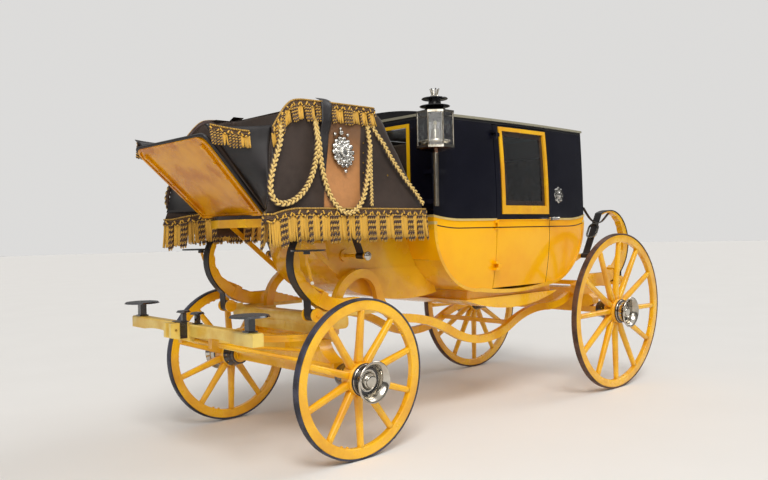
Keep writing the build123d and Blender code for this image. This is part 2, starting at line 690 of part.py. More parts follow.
class SpringLine:
    """Outer line of a C-spring as three arcs that share their tangents, and lines set in from it."""

    def __init__(self, cx, cz, radius, turn, low_radius, tip_radius, way):
        self.way = way
        self.turn = turn
        low = low_radius - radius
        t = radians(turn)
        self.arcs = {
            "tip": (cx, cz + radius - tip_radius, tip_radius),
            "round": (cx, cz, radius),
            "low": (cx - way * low * cos(t), cz - low * sin(t), low_radius),
        }
        self.low_x = cx - way * low * cos(t)
        self.base = cz - low * sin(t) - low_radius

    def at(self, angle, inset):
        """Point at an angle from forward, set in from the outer line."""
        name = "tip" if angle > 90 else "round" if angle >= self.turn else "low"
        cx, cz, radius = self.arcs[name]
        reach = radius - inset
        return cx + self.way * reach * cos(radians(angle)), cz + reach * sin(radians(angle))

    def run(self, start, end, inset):
        """Arcs between two angles, at one inset."""
        down = start > end
        stops = [a for a in (90, self.turn) if min(start, end) < a < max(start, end)]
        marks = [start] + sorted(stops, reverse=down) + [end]
        lines = []
        for a, b in zip(marks, marks[1:]):
            mid_angle = (a + b) / 2
            name = "tip" if mid_angle > 90 else "round" if mid_angle >= self.turn else "low"
            cx, cz, radius = self.arcs[name]
            reach = radius - inset
            angles = [radians(v) for v in (a, mid_angle, b)]
            stops_on = [(cx + self.way * reach * cos(v), cz + reach * sin(v)) for v in angles]
            lines.append(ThreePointArc(*stops_on))
        return lines


def c_spring(line, tail, starts):
    """Leaf pack: each leaf starts lower and ends shorter than the one outside it."""
    pack = None
    for i, start in enumerate(starts):
        d0, d1 = i * LEAF_T, (i + 1) * LEAF_T
        end_x = line.low_x - line.way * (tail - LEAF_STEP * i)
        taper = 7 if i else 2
        low0 = line.at(-90, d0)
        low1 = line.at(-90, d1)
        lines = line.run(start, -90, d0)
        lines += [Line(low0, (end_x, low0[1])), Line((end_x, low0[1]), (end_x + line.way * 14, low1[1]))]
        lines.append(Line((end_x + line.way * 14, low1[1]), low1))
        inner = line.run(start - taper, -90, d1)
        lines += inner
        lines.append(Line(line.at(start - taper, d1), line.at(start, d0)))
        leaf_solid = slab(Curve() + lines, SPRING_Y - SPRING_W / 2, SPRING_Y + SPRING_W / 2)
        pack = leaf_solid if pack is None else pack + leaf_solid
    return pack


def strap(line, tip, loop_x, loop_z, drum):
    """Leather brace from the drum round the back of a spring, over its tip and down to the cabin's loop."""
    g, t = -SEAT_GAP, -SEAT_GAP - STRAP_T
    inner_end, outer_end = line.at(-50, g), line.at(-50, t)
    drum_front = (drum[0] + line.way * 36, drum[1])
    drum_back = (drum[0] + line.way * 28, drum[1])
    lines = line.run(tip, -50, g)
    lines += [Line(inner_end, drum_back), Line(drum_back, drum_front), Line(drum_front, outer_end)]
    lines += line.run(-50, tip, t)
    over_in, over_out = line.at(tip, g), line.at(tip, t)
    fall = Vector(loop_x - over_out[0], loop_z - over_out[1]).normalized()
    side = Vector(-fall.Y, fall.X) * (STRAP_T / 2)
    low_out = (loop_x - fall.X * 14 - line.way * abs(side.X), loop_z - fall.Y * 14 - abs(side.Y))
    low_in = (loop_x - fall.X * 14 + line.way * abs(side.X), loop_z - fall.Y * 14 + abs(side.Y))
    lines += [Line(over_out, low_out), Line(low_out, low_in), Line(low_in, over_in)]
    body = slab(Curve() + lines, SPRING_Y - BRACE_W / 2, SPRING_Y + BRACE_W / 2)
    eye = Pos(loop_x, SPRING_Y, loop_z) * Rot(90, 0, 0) * (Cylinder(21, BRACE_W) - Cylinder(12.3, BRACE_W))
    wrap = Pos(drum[0], SPRING_Y, drum[1]) * Rot(90, 0, 0) * Cylinder(36, BRACE_W)
    wrap -= Pos(drum[0], SPRING_Y, drum[1]) * Rot(90, 0, 0) * Cylinder(DRUM_R + SEAT_GAP, BRACE_W)
    return body + eye + wrap


LOOPS = {"front": (BOOT_FRONT - 155, 1205), "rear": (-25, 1110)}
straps = []
drums = []
buckles = []
arms = {}
for where, cx, cz, radius, turn, low_r, tip_r, tip, tail, way, starts in SPRINGS:
    line = SpringLine(cx, cz, radius, turn, low_r, tip_r, way)
    pack = c_spring(line, tail, starts)
    clip_low, clip_high = line.at(-62, 0), line.at(-62, len(starts) * LEAF_T + 12)
    clip_foot = (clip_low[0], SPRING_Y, clip_low[1])
    clip_head = (clip_high[0], SPRING_Y, clip_high[1])
    clip = bar(clip_foot, clip_head, SPRING_W + 16, 44)
    pack += clip
    add(f"{where}_springs", both(pack))
    drum_x, drum_z = line.at(-50, 0)[0] - way * 34, line.base + 4
    straps.append(both(strap(line, tip, *LOOPS[where], (drum_x, drum_z))))
    y0, y1 = SPRING_Y - BRACE_W / 2 - 8, SPRING_Y + BRACE_W / 2 + 8
    drum = rod((drum_x, y0 - 8, drum_z), (drum_x, y1 + 12, drum_z), DRUM_R)
    drum += rod((drum_x, y1, drum_z), (drum_x, y1 + 12, drum_z), DISC_R)
    drum += rod((drum_x, y0 - 12, drum_z), (drum_x, y0, drum_z), DISC_R)
    drum += rod((drum_x, y1, drum_z), (drum_x, y1 + 22, drum_z), 10)
    drums.append(both(drum))
    x0, x1 = sorted((drum_x, line.low_x - way * (tail - 20)))
    arms[where] = (line, drum_x, drum_z, x0, x1)
add("leather_braces", solids_of(*straps))
add("brace_drums", solids_of(*drums))

# Buckles on the rear braces, flat oval rings that lie on the strap
rear_line = arms["rear"][0]
top_x, top_z = rear_line.at(111, -SEAT_GAP - STRAP_T)
low_x, low_z = LOOPS["rear"]
fall = Vector(low_x - top_x, 0, low_z - top_z).normalized()
face_dir = Vector(-fall.Z, 0, fall.X)
spot = Vector(top_x, SPRING_Y, top_z) + fall * 185 + face_dir * 0.5
ring_plane = Plane(origin=spot, x_dir=fall, z_dir=face_dir)
oval = SlotOverall(156, 104) - SlotOverall(130, 78)
buckle = extrude(ring_plane * oval, amount=12)
add("brace_buckles", both(buckle))

# Steps to the driver's seat on bent irons from the front springs
TREAD_X, TREAD_Y, TREAD_Z = KING_X + 295, 650, 1258
front_line = arms["front"][0]
clip_x, clip_z = front_line.at(-62, len(SPRINGS[0][-1]) * LEAF_T + 12)
tread = Pos(TREAD_X, TREAD_Y, TREAD_Z) * Cylinder(100, 9)
tread += Pos(TREAD_X - 14, TREAD_Y - 34, TREAD_Z - 14) * Cylinder(20, 22)
iron = bent([
    (TREAD_X - 14, TREAD_Y - 34, TREAD_Z - 14), (TREAD_X - 24, TREAD_Y - 50, TREAD_Z - 70),
    (TREAD_X - 70, TREAD_Y - 78, TREAD_Z - 150), (TREAD_X - 128, SPRING_Y + 26, TREAD_Z - 222),
    (clip_x + 6, SPRING_Y + 10, clip_z + 4),
], 9)
knob = (TREAD_X - 70, TREAD_Y - 62, TREAD_Z - 196)
iron += Pos(*knob) * Sphere(11) + rod(knob, (TREAD_X - 96, TREAD_Y - 100, TREAD_Z - 190), 6)
add("box_steps", both(tread + iron))

# Rear bed over the axle, and the fixed transom over the turntable


def spring_arm(where, foot_z):
    """Seat under a spring's tail, with cheeks that hold the drum."""
    line, drum_x, drum_z, x0, x1 = arms[where]
    arm = box(x0, x1, SPRING_Y - 30, SPRING_Y + 30, foot_z, line.base)
    near_x = drum_x - line.way * (DISC_R + 60)
    for y0 in (SPRING_Y - BRACE_W / 2 - 8, SPRING_Y + BRACE_W / 2 + 2):
        arm += box(min(near_x, drum_x), max(near_x, drum_x), y0, y0 + 6, drum_z - 16, drum_z + 16)
    x2, x3 = sorted((near_x, near_x - line.way * 30))
    arm += box(x2, x3, SPRING_Y - BRACE_W / 2 - 8, SPRING_Y + BRACE_W / 2 + 8, foot_z, line.base)
    room = BRACE_W / 2 + 1
    return arm - box(drum_x - 44, drum_x + 44, SPRING_Y - room, SPRING_Y + room, drum_z - 60, drum_z + 60)


rear_line, rear_drum_x, rear_drum_z, rx0, rx1 = arms["rear"]
REAR_BED_Z = hub_height(REAR_R) + 1 + AXLE_SQ / 2
rear_bed = cross(loop([
    (-600, 700), (-560, REAR_BED_Z), (560, REAR_BED_Z), (600, 700), (600, 752), (560, 784), (-560, 784),
    (-600, 752),
]), -48, 48)
rear_bed += box(-90, 90, -540, 540, 784, rear_line.base - 26)
rear_bed += both(spring_arm("rear", rear_line.base - 26))
cross_x = rear_drum_x + DISC_R + 60
rear_bed += box(cross_x, cross_x + 50, 20 - SPRING_Y, SPRING_Y - 20, rear_line.base - 40, rear_line.base - 2)
add("rear_bed", rear_bed - necks - AXLES["rear"])

front_line = arms["front"][0]
TRANSOM_Z = front_line.base - 6 - TRANSOM_H / 2
UPPER_Z0, UPPER_Z1 = PLATE_Z + 1, PLATE_Z + 1 + PLATE_T
beam = Pos(KING_X, 570, TRANSOM_Z) * extrude(Plane.XZ * RectangleRounded(124, TRANSOM_H, 30), amount=1140)
transom = beam + box(KING_X - 190, KING_X + 60, -60, 60, UPPER_Z1, TRANSOM_Z)
transom += both(spring_arm("front", front_line.base - 24))
for s in (-1, 1):
    y = s * PERCH_Y
    transom += box(KING_X - 155, KING_X, y - 32, y + 32, TRANSOM_Z - 26, front_line.base - 8)
transom += box(KING_X - 56, KING_X + 56, -PLATE_R, PLATE_R, UPPER_Z1, TRANSOM_Z)
add("transom", transom)
add("perches", necks - transom)
ring_plate = Cylinder(PLATE_R, PLATE_T) - Cylinder(PLATE_R - PLATE_RIM, PLATE_T)
upper_ring = Pos(KING_X, 0, (UPPER_Z0 + UPPER_Z1) / 2) * ring_plate
upper_ring += box(KING_X - 30, KING_X + 30, 20 - PLATE_R, PLATE_R - 20, UPPER_Z0, UPPER_Z1)
add("upper_plate", upper_ring)
pin_hole = Pos(KING_X, 0, 640) * Cylinder(PIN_R + RUN_GAP, 2 * (PLATE_Z - 640) + 1)
lower_ring = Pos(KING_X, 0, PLATE_Z - PLATE_T / 2) * ring_plate
lower_ring += box(KING_X - 30, KING_X + 30, 20 - PLATE_R, PLATE_R - 20, PLATE_Z - PLATE_T, PLATE_Z)
add("lower_plate", lower_ring - pin_hole)
king_pin = Pos(KING_X, 0, 606) * Cylinder(PIN_R, UPPER_Z0 - 606, align=LOW_END)
add("king_pin", king_pin)
BED_Z1 = PLATE_Z - PLATE_T
FRONT_AXLE_TOP = hub_height(FRONT_R) + 1 + AXLE_SQ / 2
lower_bed = cross(Curve() + [
    Line((-556, FRONT_AXLE_TOP), (556, FRONT_AXLE_TOP)), Line((556, FRONT_AXLE_TOP), (556, 560)),
    ThreePointArc((556, 560), (470, 592), (400, BED_Z1)), Line((400, BED_Z1), (-400, BED_Z1)),
    ThreePointArc((-400, BED_Z1), (-470, 592), (-556, 560)), Line((-556, 560), (-556, FRONT_AXLE_TOP)),
], KING_X - 50, KING_X + 50)
add("lower_bed", lower_bed - pin_hole - AXLES["front"])

# Futchells, splinter bar, roller bolts and pole head
PIN_X, PIN_Z, POLE_PIN_R = JAW_TIP - 34, 800, 9
BED_FRONT = KING_X + 50
futchell = slab(loop([
    (BED_FRONT, 655), (KING_X + 370, 668), (BAR_X - 70, 738), (BAR_X - BAR_W / 2, BAR_Z0),
    (BAR_X + BAR_W / 2 + 0.5, BAR_Z0), (BAR_X + BAR_W / 2 + 0.5, JAW_Z1), (JAW_TIP, JAW_Z1),
    (JAW_TIP, JAW_Z0), (BAR_X + 60, 735), (BAR_X - 70, 690), (KING_X + 370, 610), (BED_FRONT, 592),
]), JAW_IN, JAW_OUT)
futchell -= Pos(PIN_X, (JAW_IN + JAW_OUT) / 2, PIN_Z) * Rot(90, 0, 0) * Cylinder(POLE_PIN_R, 80)
tail_bar = box(KING_X - 385, KING_X - 50, JAW_IN + 10, JAW_OUT + 10, 600, 655)
add("futchells", both(solids_of(futchell, tail_bar)))
hoop = box(BAR_X + 50, BAR_X + 95, -JAW_OUT - 6, JAW_OUT + 6, JAW_Z0 - 8, JAW_Z1 + 6)
hoop -= box(BAR_X, JAW_TIP, -JAW_OUT, JAW_OUT, JAW_Z0 - 2, JAW_Z1)
hoop -= both(futchell)
add("pole_hoop", hoop)
bar_solid = box(BAR_X - BAR_W / 2, BAR_X + BAR_W / 2, -BAR_HALF, BAR_HALF, BAR_Z0, BAR_Z1)
scoop = cross(Curve() + [
    ThreePointArc((190, BAR_Z0 - 1), (370, BAR_Z0 + 13), (560, BAR_Z0 - 1)),
    Line((560, BAR_Z0 - 1), (190, BAR_Z0 - 1)),
], BAR_X - BAR_W, BAR_X + BAR_W)
bar_solid = bar_solid - scoop - mirror(scoop, Plane.XZ)
long_edges = bar_solid.edges().filter_by(Axis.Y).sort_by(Axis.Z)[-2:]
add("splinter_bar", chamfer(long_edges, 8))
bolts = []
# Columns: Y, head radius, head height above the bar, stem half-width
for y, r, h, stem in ((658, 112, 84, 21), (85, 44, 62, 13)):
    bolt = box(BAR_X - stem, BAR_X + stem, y - stem, y + stem, BAR_Z1, BAR_Z1 + h)
    bolt += Pos(BAR_X, y, BAR_Z1 + h) * Cone(r, r - 8, 10, align=LOW_END)
    bolt += Pos(BAR_X, y, BAR_Z1 + h - 8) * Cone(stem + 4, r * 0.8, 8, align=LOW_END)
    bolt += box(BAR_X - stem - 9, BAR_X + stem + 9, y - stem - 9, y + stem + 9, BAR_Z1, BAR_Z1 + 8)
    bolts.append(both(bolt))
add("roller_bolts", solids_of(*bolts))

# Wheel irons: from a block under the splinter bar back to the axle bed and its ends
APEX = (BAR_X - 50, 185, 712)
irons = box(APEX[0] - 22, APEX[0] + 26, APEX[1] - 20, APEX[1] + 20, 688, BAR_Z0)
irons += rod(APEX, (KING_X + 40, 520, 538), 13) + rod(APEX, (KING_X + 40, 350, 610), 11)
irons += rod(APEX, (BAR_X - 6, JAW_OUT - 1, 728), 11)
irons -= box(KING_X - 60, KING_X + 50, 0, 600, 400, BED_Z1)
irons -= box(BAR_X - BAR_W / 2, BAR_X + BAR_W / 2, 0, BAR_HALF, BAR_Z0, BAR_Z1) + futchell
irons = irons.solids().sort_by(SortBy.VOLUME)[-1]
add("wheel_irons", both(irons))

# Loops that carry the cabin and boot in the braces
front_x, front_z = LOOPS["front"]
rear_x, rear_z = LOOPS["rear"]
pin = rod((front_x, BOOT_HALF, front_z), (front_x, 545, front_z), 12)
pin += rod((front_x, 535, front_z), (front_x, 550, front_z), 25)
pin += rod((front_x, BOOT_HALF, front_z), (front_x, BOOT_HALF + 14, front_z), 40)
rear_loop = rod((rear_x, 424, rear_z), (rear_x, 545, rear_z), 12)
rear_loop += rod((rear_x, 535, rear_z), (rear_x, 550, rear_z), 25)
rear_loop += bar((rear_x, 436, rear_z), (360, 436, 985), 24, 38)
rear_loop -= hull(SEAT_GAP)
rear_loop = rear_loop.solids().sort_by(SortBy.VOLUME)[-1]
add("body_loops", solids_of(both(pin), both(rear_loop)))

# Pieces cut back where they seat on another
SEATS = (
    ("leather_braces", "front_springs"), ("leather_braces", "rear_springs"),
    ("brace_drums", "leather_braces"), ("transom", "brace_drums"), ("rear_bed", "brace_drums"),
    ("transom", "front_springs"), ("rear_bed", "rear_springs"), ("brace_buckles", "leather_braces"),
    ("box_steps", "front_springs"), ("box_steps", "leather_braces"), ("body_loops", "leather_braces"),
    ("toe_board", "foot_board"),
)
for name, other in SEATS:
    shape = PARTS[name] - PARTS[other]
    kept = [solid for solid in shape.solids() if solid.volume > 500]
    PARTS[name] = kept[0] if len(kept) == 1 else Compound(kept)

for name, shape in PARTS.items():
    export_step(shape, f"parts/{name}.step")
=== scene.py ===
"""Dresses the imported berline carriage: paint, leather, cloth, fringes, metalwork, studio and camera."""

import logging
import math
from dataclasses import dataclass, replace
from enum import Enum

import bmesh
import bpy
import numpy as np
from mathutils import Matrix, Vector


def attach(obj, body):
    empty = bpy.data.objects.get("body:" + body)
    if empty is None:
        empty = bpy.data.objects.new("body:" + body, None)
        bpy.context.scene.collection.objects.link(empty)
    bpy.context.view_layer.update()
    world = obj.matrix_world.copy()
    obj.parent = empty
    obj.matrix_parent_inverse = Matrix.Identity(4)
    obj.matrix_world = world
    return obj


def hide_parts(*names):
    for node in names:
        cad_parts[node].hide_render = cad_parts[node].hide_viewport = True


LOG = logging.getLogger("berline")
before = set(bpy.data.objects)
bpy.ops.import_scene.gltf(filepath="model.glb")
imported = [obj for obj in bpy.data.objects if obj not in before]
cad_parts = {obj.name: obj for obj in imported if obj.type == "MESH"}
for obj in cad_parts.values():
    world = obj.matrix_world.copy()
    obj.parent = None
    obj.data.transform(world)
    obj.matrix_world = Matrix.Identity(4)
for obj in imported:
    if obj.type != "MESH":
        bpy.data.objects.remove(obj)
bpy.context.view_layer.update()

Vec = tuple[float, float, float]
Span = tuple[float, float]
Tone = tuple[float, float, float, float]
Grid = np.ndarray
Piece = bpy.types.Object
Node = bpy.types.Node
Socket = bpy.types.NodeSocket
Material = bpy.types.Material

# Lengths are measured forwards from the rear axle, in metres; less MID_X, they start at the carriage's middle.
MID_X = 1.4818
KING_X = 2.805 - MID_X
CABIN_REAR, CABIN_FRONT = 0.15, 1.985
LAMP = (CABIN_FRONT + 0.071 - MID_X, 0.688)
CAMBER = math.radians(2.2)
# From one strand of a fringe to the next.
STRAND_STEP = 0.0085
# A limit that nothing reaches.
FAR = 9.0
# Mesh size of the pads, in metres, and how many frames they swell for.
PAD_MESH = 0.008
SWELL_FRAMES = 20
UP = np.array([0.0, 0.0, 1.0])


def srgb(red: int, green: int, blue: int) -> Tone:
    """Colour of 0 to 255 channels as linear RGBA: ((c + .055) / 1.055) ^ 2.4."""
    def one(value: int) -> float:
        """Linear value of one channel."""
        c = value / 255
        return c / 12.92 if c < 0.04045 else ((c + 0.055) / 1.055) ** 2.4
    return (one(red), one(green), one(blue), 1.0)


# ---------------------------------------------------------------- shading


class Board:
    """Places and joins the nodes of one material or node group."""

    def __init__(self, tree: bpy.types.NodeTree) -> None:
        """Keeps the tree that the nodes go in."""
        self.tree = tree

    def fill(self, node: Node, **inputs: object) -> Node:
        """Sets the inputs of a node.

        Args:
            node: the node.
            **inputs: values, or sockets to link, by the input's name with _ for spaces, or by index as i0, i1.
        Returns:
            The same node.
        """
        for key, value in inputs.items():
            numbered = key[0] == "i" and key[1:].isdigit()
            socket = node.inputs[int(key[1:]) if numbered else key.replace("_", " ")]
            if isinstance(value, Socket):
                self.tree.links.new(value, socket)
            else:
                socket.default_value = value
        return node

    def node(self, kind: str, settings: dict | None = None, **inputs: object) -> Node:
        """Adds a node.

        Args:
            kind: the node's type name without "ShaderNode".
            settings: properties of the node itself.
            **inputs: as fill takes them.
        Returns:
            The new node.
        """
        made = self.tree.nodes.new("ShaderNode" + kind)
        for key, value in (settings or {}).items():
            setattr(made, key, value)
        return self.fill(made, **inputs)

    def math(self, what: str, a: float | Socket, b: float | Socket = 0.0, c: float | Socket = 0.0) -> Socket:
        """Output of a Math node on up to three values or sockets."""
        return self.node("Math", {"operation": what}, i0=a, i1=b, i2=c).outputs[0]

    def times(self, a: Socket, b: float | Socket) -> Socket:
        """Product of two values."""
        return self.math("MULTIPLY", a, b)

    def mix(self, factor: Socket, a: Tone | Socket, b: Tone | Socket) -> Socket:
        """Colour mixed from a to b by a factor."""
        return self.node("Mix", {"data_type": "RGBA"}, i0=factor, i6=a, i7=b).outputs[2]

    def between(self, value: Socket, low: float, high: float, start: float = 0.0, end: float = 1.0) -> Socket:
        """Value carried smoothly from a range low to high to another range."""
        made = self.node("MapRange", {"interpolation_type": "SMOOTHSTEP"}, i0=value, i1=low, i2=high, i3=start, i4=end)
        return made.outputs[0]

    def noise(self, place: Socket, scale: float | Socket, detail: float, rough: float = 0.5) -> Socket:
        """Value of a noise at a place."""
        return self.node("TexNoise", Vector=place, Scale=scale, Detail=detail, Roughness=rough).outputs[0]

    def axes(self) -> tuple[Socket, Socket, Socket, Socket]:
        """Object coordinates, whole and as three sockets."""
        place = self.node("TexCoord").outputs["Object"]
        parts = self.node("SeparateXYZ", i0=place).outputs
        return place, parts[0], parts[1], parts[2]


class Effects:
    """Shared node groups, each built once."""

    def __init__(self) -> None:
        """Builds the groups."""
        self.wear = self._wear()
        self.weave = self._weave()

    def _group(self, name: str, inputs: dict[str, float],
               outputs: tuple[str, ...]) -> tuple[Board, dict[str, Socket], Node]:
        """Empty group with float inputs and outputs.

        Args:
            name: the group's name.
            inputs: the inputs' names and start values.
            outputs: the outputs' names.
        Returns:
            The group's board, its input sockets by name and its output node.
        """
        board = Board(bpy.data.node_groups.new(name, "ShaderNodeTree"))
        sockets = board.tree.interface
        for label, value in inputs.items():
            sockets.new_socket(label, in_out="INPUT", socket_type="NodeSocketFloat").default_value = value
        for label in outputs:
            sockets.new_socket(label, in_out="OUTPUT", socket_type="NodeSocketFloat")
        enter = board.tree.nodes.new("NodeGroupInput")
        leave = board.tree.nodes.new("NodeGroupOutput")
        return board, {label: enter.outputs[label] for label in inputs}, leave

    def _wear(self) -> bpy.types.NodeTree:
        """Patches of age, fine grain and specks, each from a noise of its own."""
        b, ins, leave = self._group("age_and_grain", {"Scale": 3.0, "Fine": 60.0}, ("Patch", "Grain", "Speck"))
        place = b.axes()[0]
        broad = b.noise(place, ins["Scale"], 6.0, 0.6)
        fine = b.noise(place, ins["Fine"], 4.0, 0.55)
        cells = b.noise(place, b.times(ins["Fine"], 0.4), 8.0, 0.75)
        b.fill(leave, Patch=b.between(broad, 0.35, 0.7), Grain=fine, Speck=b.between(cells, 0.62, 0.72))
        return b.tree

    def _weave(self) -> bpy.types.NodeTree:
        """Plain weave: the higher of two crossed rows of threads, |sin| in X + Y and in Z."""
        b, ins, leave = self._group("plain_weave", {"Threads": 900.0}, ("Height", "Tone"))
        place, x, y, z = b.axes()
        waves = (b.math("SINE", b.times(way, ins["Threads"])) for way in (b.math("ADD", x, y), z))
        warp, weft = (b.math("ABSOLUTE", wave) for wave in waves)
        b.fill(leave, Height=b.math("MAXIMUM", warp, weft), Tone=b.noise(place, 26.0, 5.0, 0.7))
        return b.tree


class Canvas(Board):
    """Board of a new material, with its Principled shader and the outputs of its age group."""

    def __init__(self, name: str, effects: Effects, scale: float, fine: float) -> None:
        """Starts the material, not yet coloured."""
        self.material = bpy.data.materials.new(name)
        self.material.use_nodes = True
        super().__init__(self.material.node_tree)
        self.shader = self.tree.nodes["Principled BSDF"]
        self.age = self.node("Group", {"node_tree": effects.wear}, Scale=scale, Fine=fine).outputs

    def shade(self, **inputs: object) -> None:
        """Sets inputs of the shader, as fill takes them."""
        self.fill(self.shader, **inputs)

    def bumped(self, strength: float, depth: float, height: Socket) -> Socket:
        """Normal bent by a height."""
        return self.node("Bump", Strength=strength, Distance=depth, Height=height).outputs[0]


class Sheen(Enum):
    """How a finish throws light back."""

    GLOSS = "gloss"
    SATIN = "satin"
    CLOTH = "cloth"
    METAL = "metal"


ANY = (-FAR, FAR)


@dataclass(frozen=True)
class Zone:
    """Part of a piece with a tone of its own: within limits of X, |Y|, Z and the distance from an upright axis."""

    tone: Tone
    x: Span = ANY
    y: Span = ANY
    z: Span = ANY
    axis: Span | None = None
    reach: Span = ANY
    metal: float | None = None

    def mask(self, board: Board) -> Socket:
        """One inside every limit, nought outside; the distance is sqrt ((x - x0)^2 + (|y| - y0)^2)."""
        _, x, y, z = board.axes()
        wide = board.math("ABSOLUTE", y)
        tests = [(x, self.x), (wide, self.y), (z, self.z)]
        if self.axis:
            dx, dy = (board.math("SUBTRACT", a, b) for a, b in zip((x, wide), self.axis))
            square = board.math("MULTIPLY_ADD", dx, dx, board.times(dy, dy))
            tests.append((board.math("SQRT", square), self.reach))
        found = None
        for value, limits in tests:
            for what, limit in zip(("GREATER_THAN", "LESS_THAN"), limits):
                if abs(limit) < FAR:
                    test = board.math(what, value, limit)
                    found = test if found is None else board.times(found, test)
        return found


@dataclass(frozen=True)
class Finish:
    """One plain finish: two tones carried by age noise, a roughness range and a fine bump."""

    name: str
    tone: Tone
    aged: Tone
    sheen: Sheen
    rough: Span = (0.25, 0.4)
    scale: float = 3.0
    fine: float = 60.0
    bump: float = 0.05
    depth: float = 0.001
    speck: float = 0.0
    speck_tone: Tone = (0.02, 0.015, 0.01, 1.0)
    zones: tuple[Zone, ...] = ()
    coat: float = 0.8
    specular: float = 0.5

    def start(self, effects: Effects) -> Canvas:
        """Canvas for this finish."""
        return Canvas(self.name, effects, self.scale, self.fine)

    def settle(self, canvas: Canvas, base: Socket, height: Socket | None = None) -> Material:
        """Sets colour, gloss, roughness and bump on the shader.

        Args:
            canvas: the material's canvas.
            base: the colour.
            height: what the bump follows; the age group's grain if it is left out.
        Returns:
            The finished material.
        """
        gloss = {
            Sheen.GLOSS: {"Coat_Weight": self.coat, "Coat_Roughness": 0.06},
            Sheen.SATIN: {},
            Sheen.CLOTH: {"Sheen_Weight": 0.2, "Sheen_Roughness": 0.5},
            Sheen.METAL: {"Metallic": 1.0},
        }[self.sheen]
        rough = canvas.between(canvas.age["Patch"], 0.0, 1.0, *self.rough)
        normal = canvas.bumped(self.bump, self.depth, canvas.age["Grain"] if height is None else height)
        canvas.shade(Base_Color=base, Roughness=rough, Specular_IOR_Level=self.specular, Normal=normal, **gloss)
        return canvas.material

    def colour(self, canvas: Canvas) -> Socket:
        """The two tones mixed by age, with specks."""
        base = canvas.mix(canvas.age["Patch"], self.tone, self.aged)
        if self.speck:
            base = canvas.mix(canvas.times(canvas.age["Speck"], self.speck), base, self.speck_tone)
        return base

    def zoned(self, canvas: Canvas, base: Socket) -> Socket:
        """The colour with each zone's tone laid over it; a zone may also differ in metal."""
        plain = 1.0 if self.sheen is Sheen.METAL else 0.0
        metal = plain
        for zone in self.zones:
            mask = zone.mask(canvas)
            base = canvas.mix(mask, base, zone.tone)
            if zone.metal is not None and zone.metal != plain:
                metal = canvas.math("MULTIPLY_ADD", mask, zone.metal - plain, metal)
                canvas.shade(Metallic=metal)
        return base

    def build(self, effects: Effects) -> Material:
        """The finished material."""
        canvas = self.start(effects)
        return self.settle(canvas, self.zoned(canvas, self.colour(canvas)))


@dataclass(frozen=True)
class WovenFinish(Finish):
    """Cloth with a plain weave and a fine fleck, and a copper panel on the two sides if it has a tone for one."""

    threads: float = 900.0
    panel: Tone | None = None

    def panelled(self, canvas: Canvas, base: Socket) -> Socket:
        """The panel laid over the cloth: it lies between x + 0.212 z and x + 0.161 z and fades upwards."""
        _, x, y, z = canvas.axes()
        ahead, behind = (canvas.math("MULTIPLY_ADD", z, lean, x) for lean in (0.212, 0.161))
        outer = canvas.between(canvas.math("ABSOLUTE", y), 0.485, 0.495)
        left = canvas.between(ahead, 3.259 - MID_X, 3.271 - MID_X, 1.0, 0.0)
        right = canvas.between(behind, 2.893 - MID_X, 2.905 - MID_X)
        high = canvas.between(z, 1.70, 2.02, 1.0, 0.28)
        mask = canvas.times(canvas.times(canvas.times(left, right), high), outer)
        return canvas.mix(canvas.times(mask, 0.8), base, self.panel)

    def build(self, effects: Effects) -> Material:
        """The woven material."""
        canvas = self.start(effects)
        weave = canvas.node("Group", {"node_tree": effects.weave}, Threads=self.threads).outputs
        base = self.colour(canvas)
        if self.panel:
            base = self.panelled(canvas, base)
        dark = canvas.math("MULTIPLY_ADD", weave["Tone"], 0.5, 0.75)
        grey = canvas.node("CombineColor", i0=dark, i1=dark, i2=dark).outputs[0]
        tinted = canvas.node("Mix", {"data_type": "RGBA", "blend_type": "MULTIPLY"}, i0=1.0, i6=base, i7=grey)
        return self.settle(canvas, tinted.outputs[2], weave["Height"])


@dataclass(frozen=True)
class ThreadFinish(Finish):
    """Fringe and rope: the piece's own tone attribute runs from the dark thread to the gold one, on ropes from painted
    shade.
    """

    def build(self, effects: Effects) -> Material:
        """The thread material."""
        canvas = self.start(effects)
        tone = canvas.node("Attribute", {"attribute_name": "tone"}).outputs["Fac"]
        mixed = canvas.mix(tone, self.aged, self.tone)
        return self.settle(canvas, canvas.mix(canvas.times(canvas.age["Grain"], 0.24), mixed, self.aged))


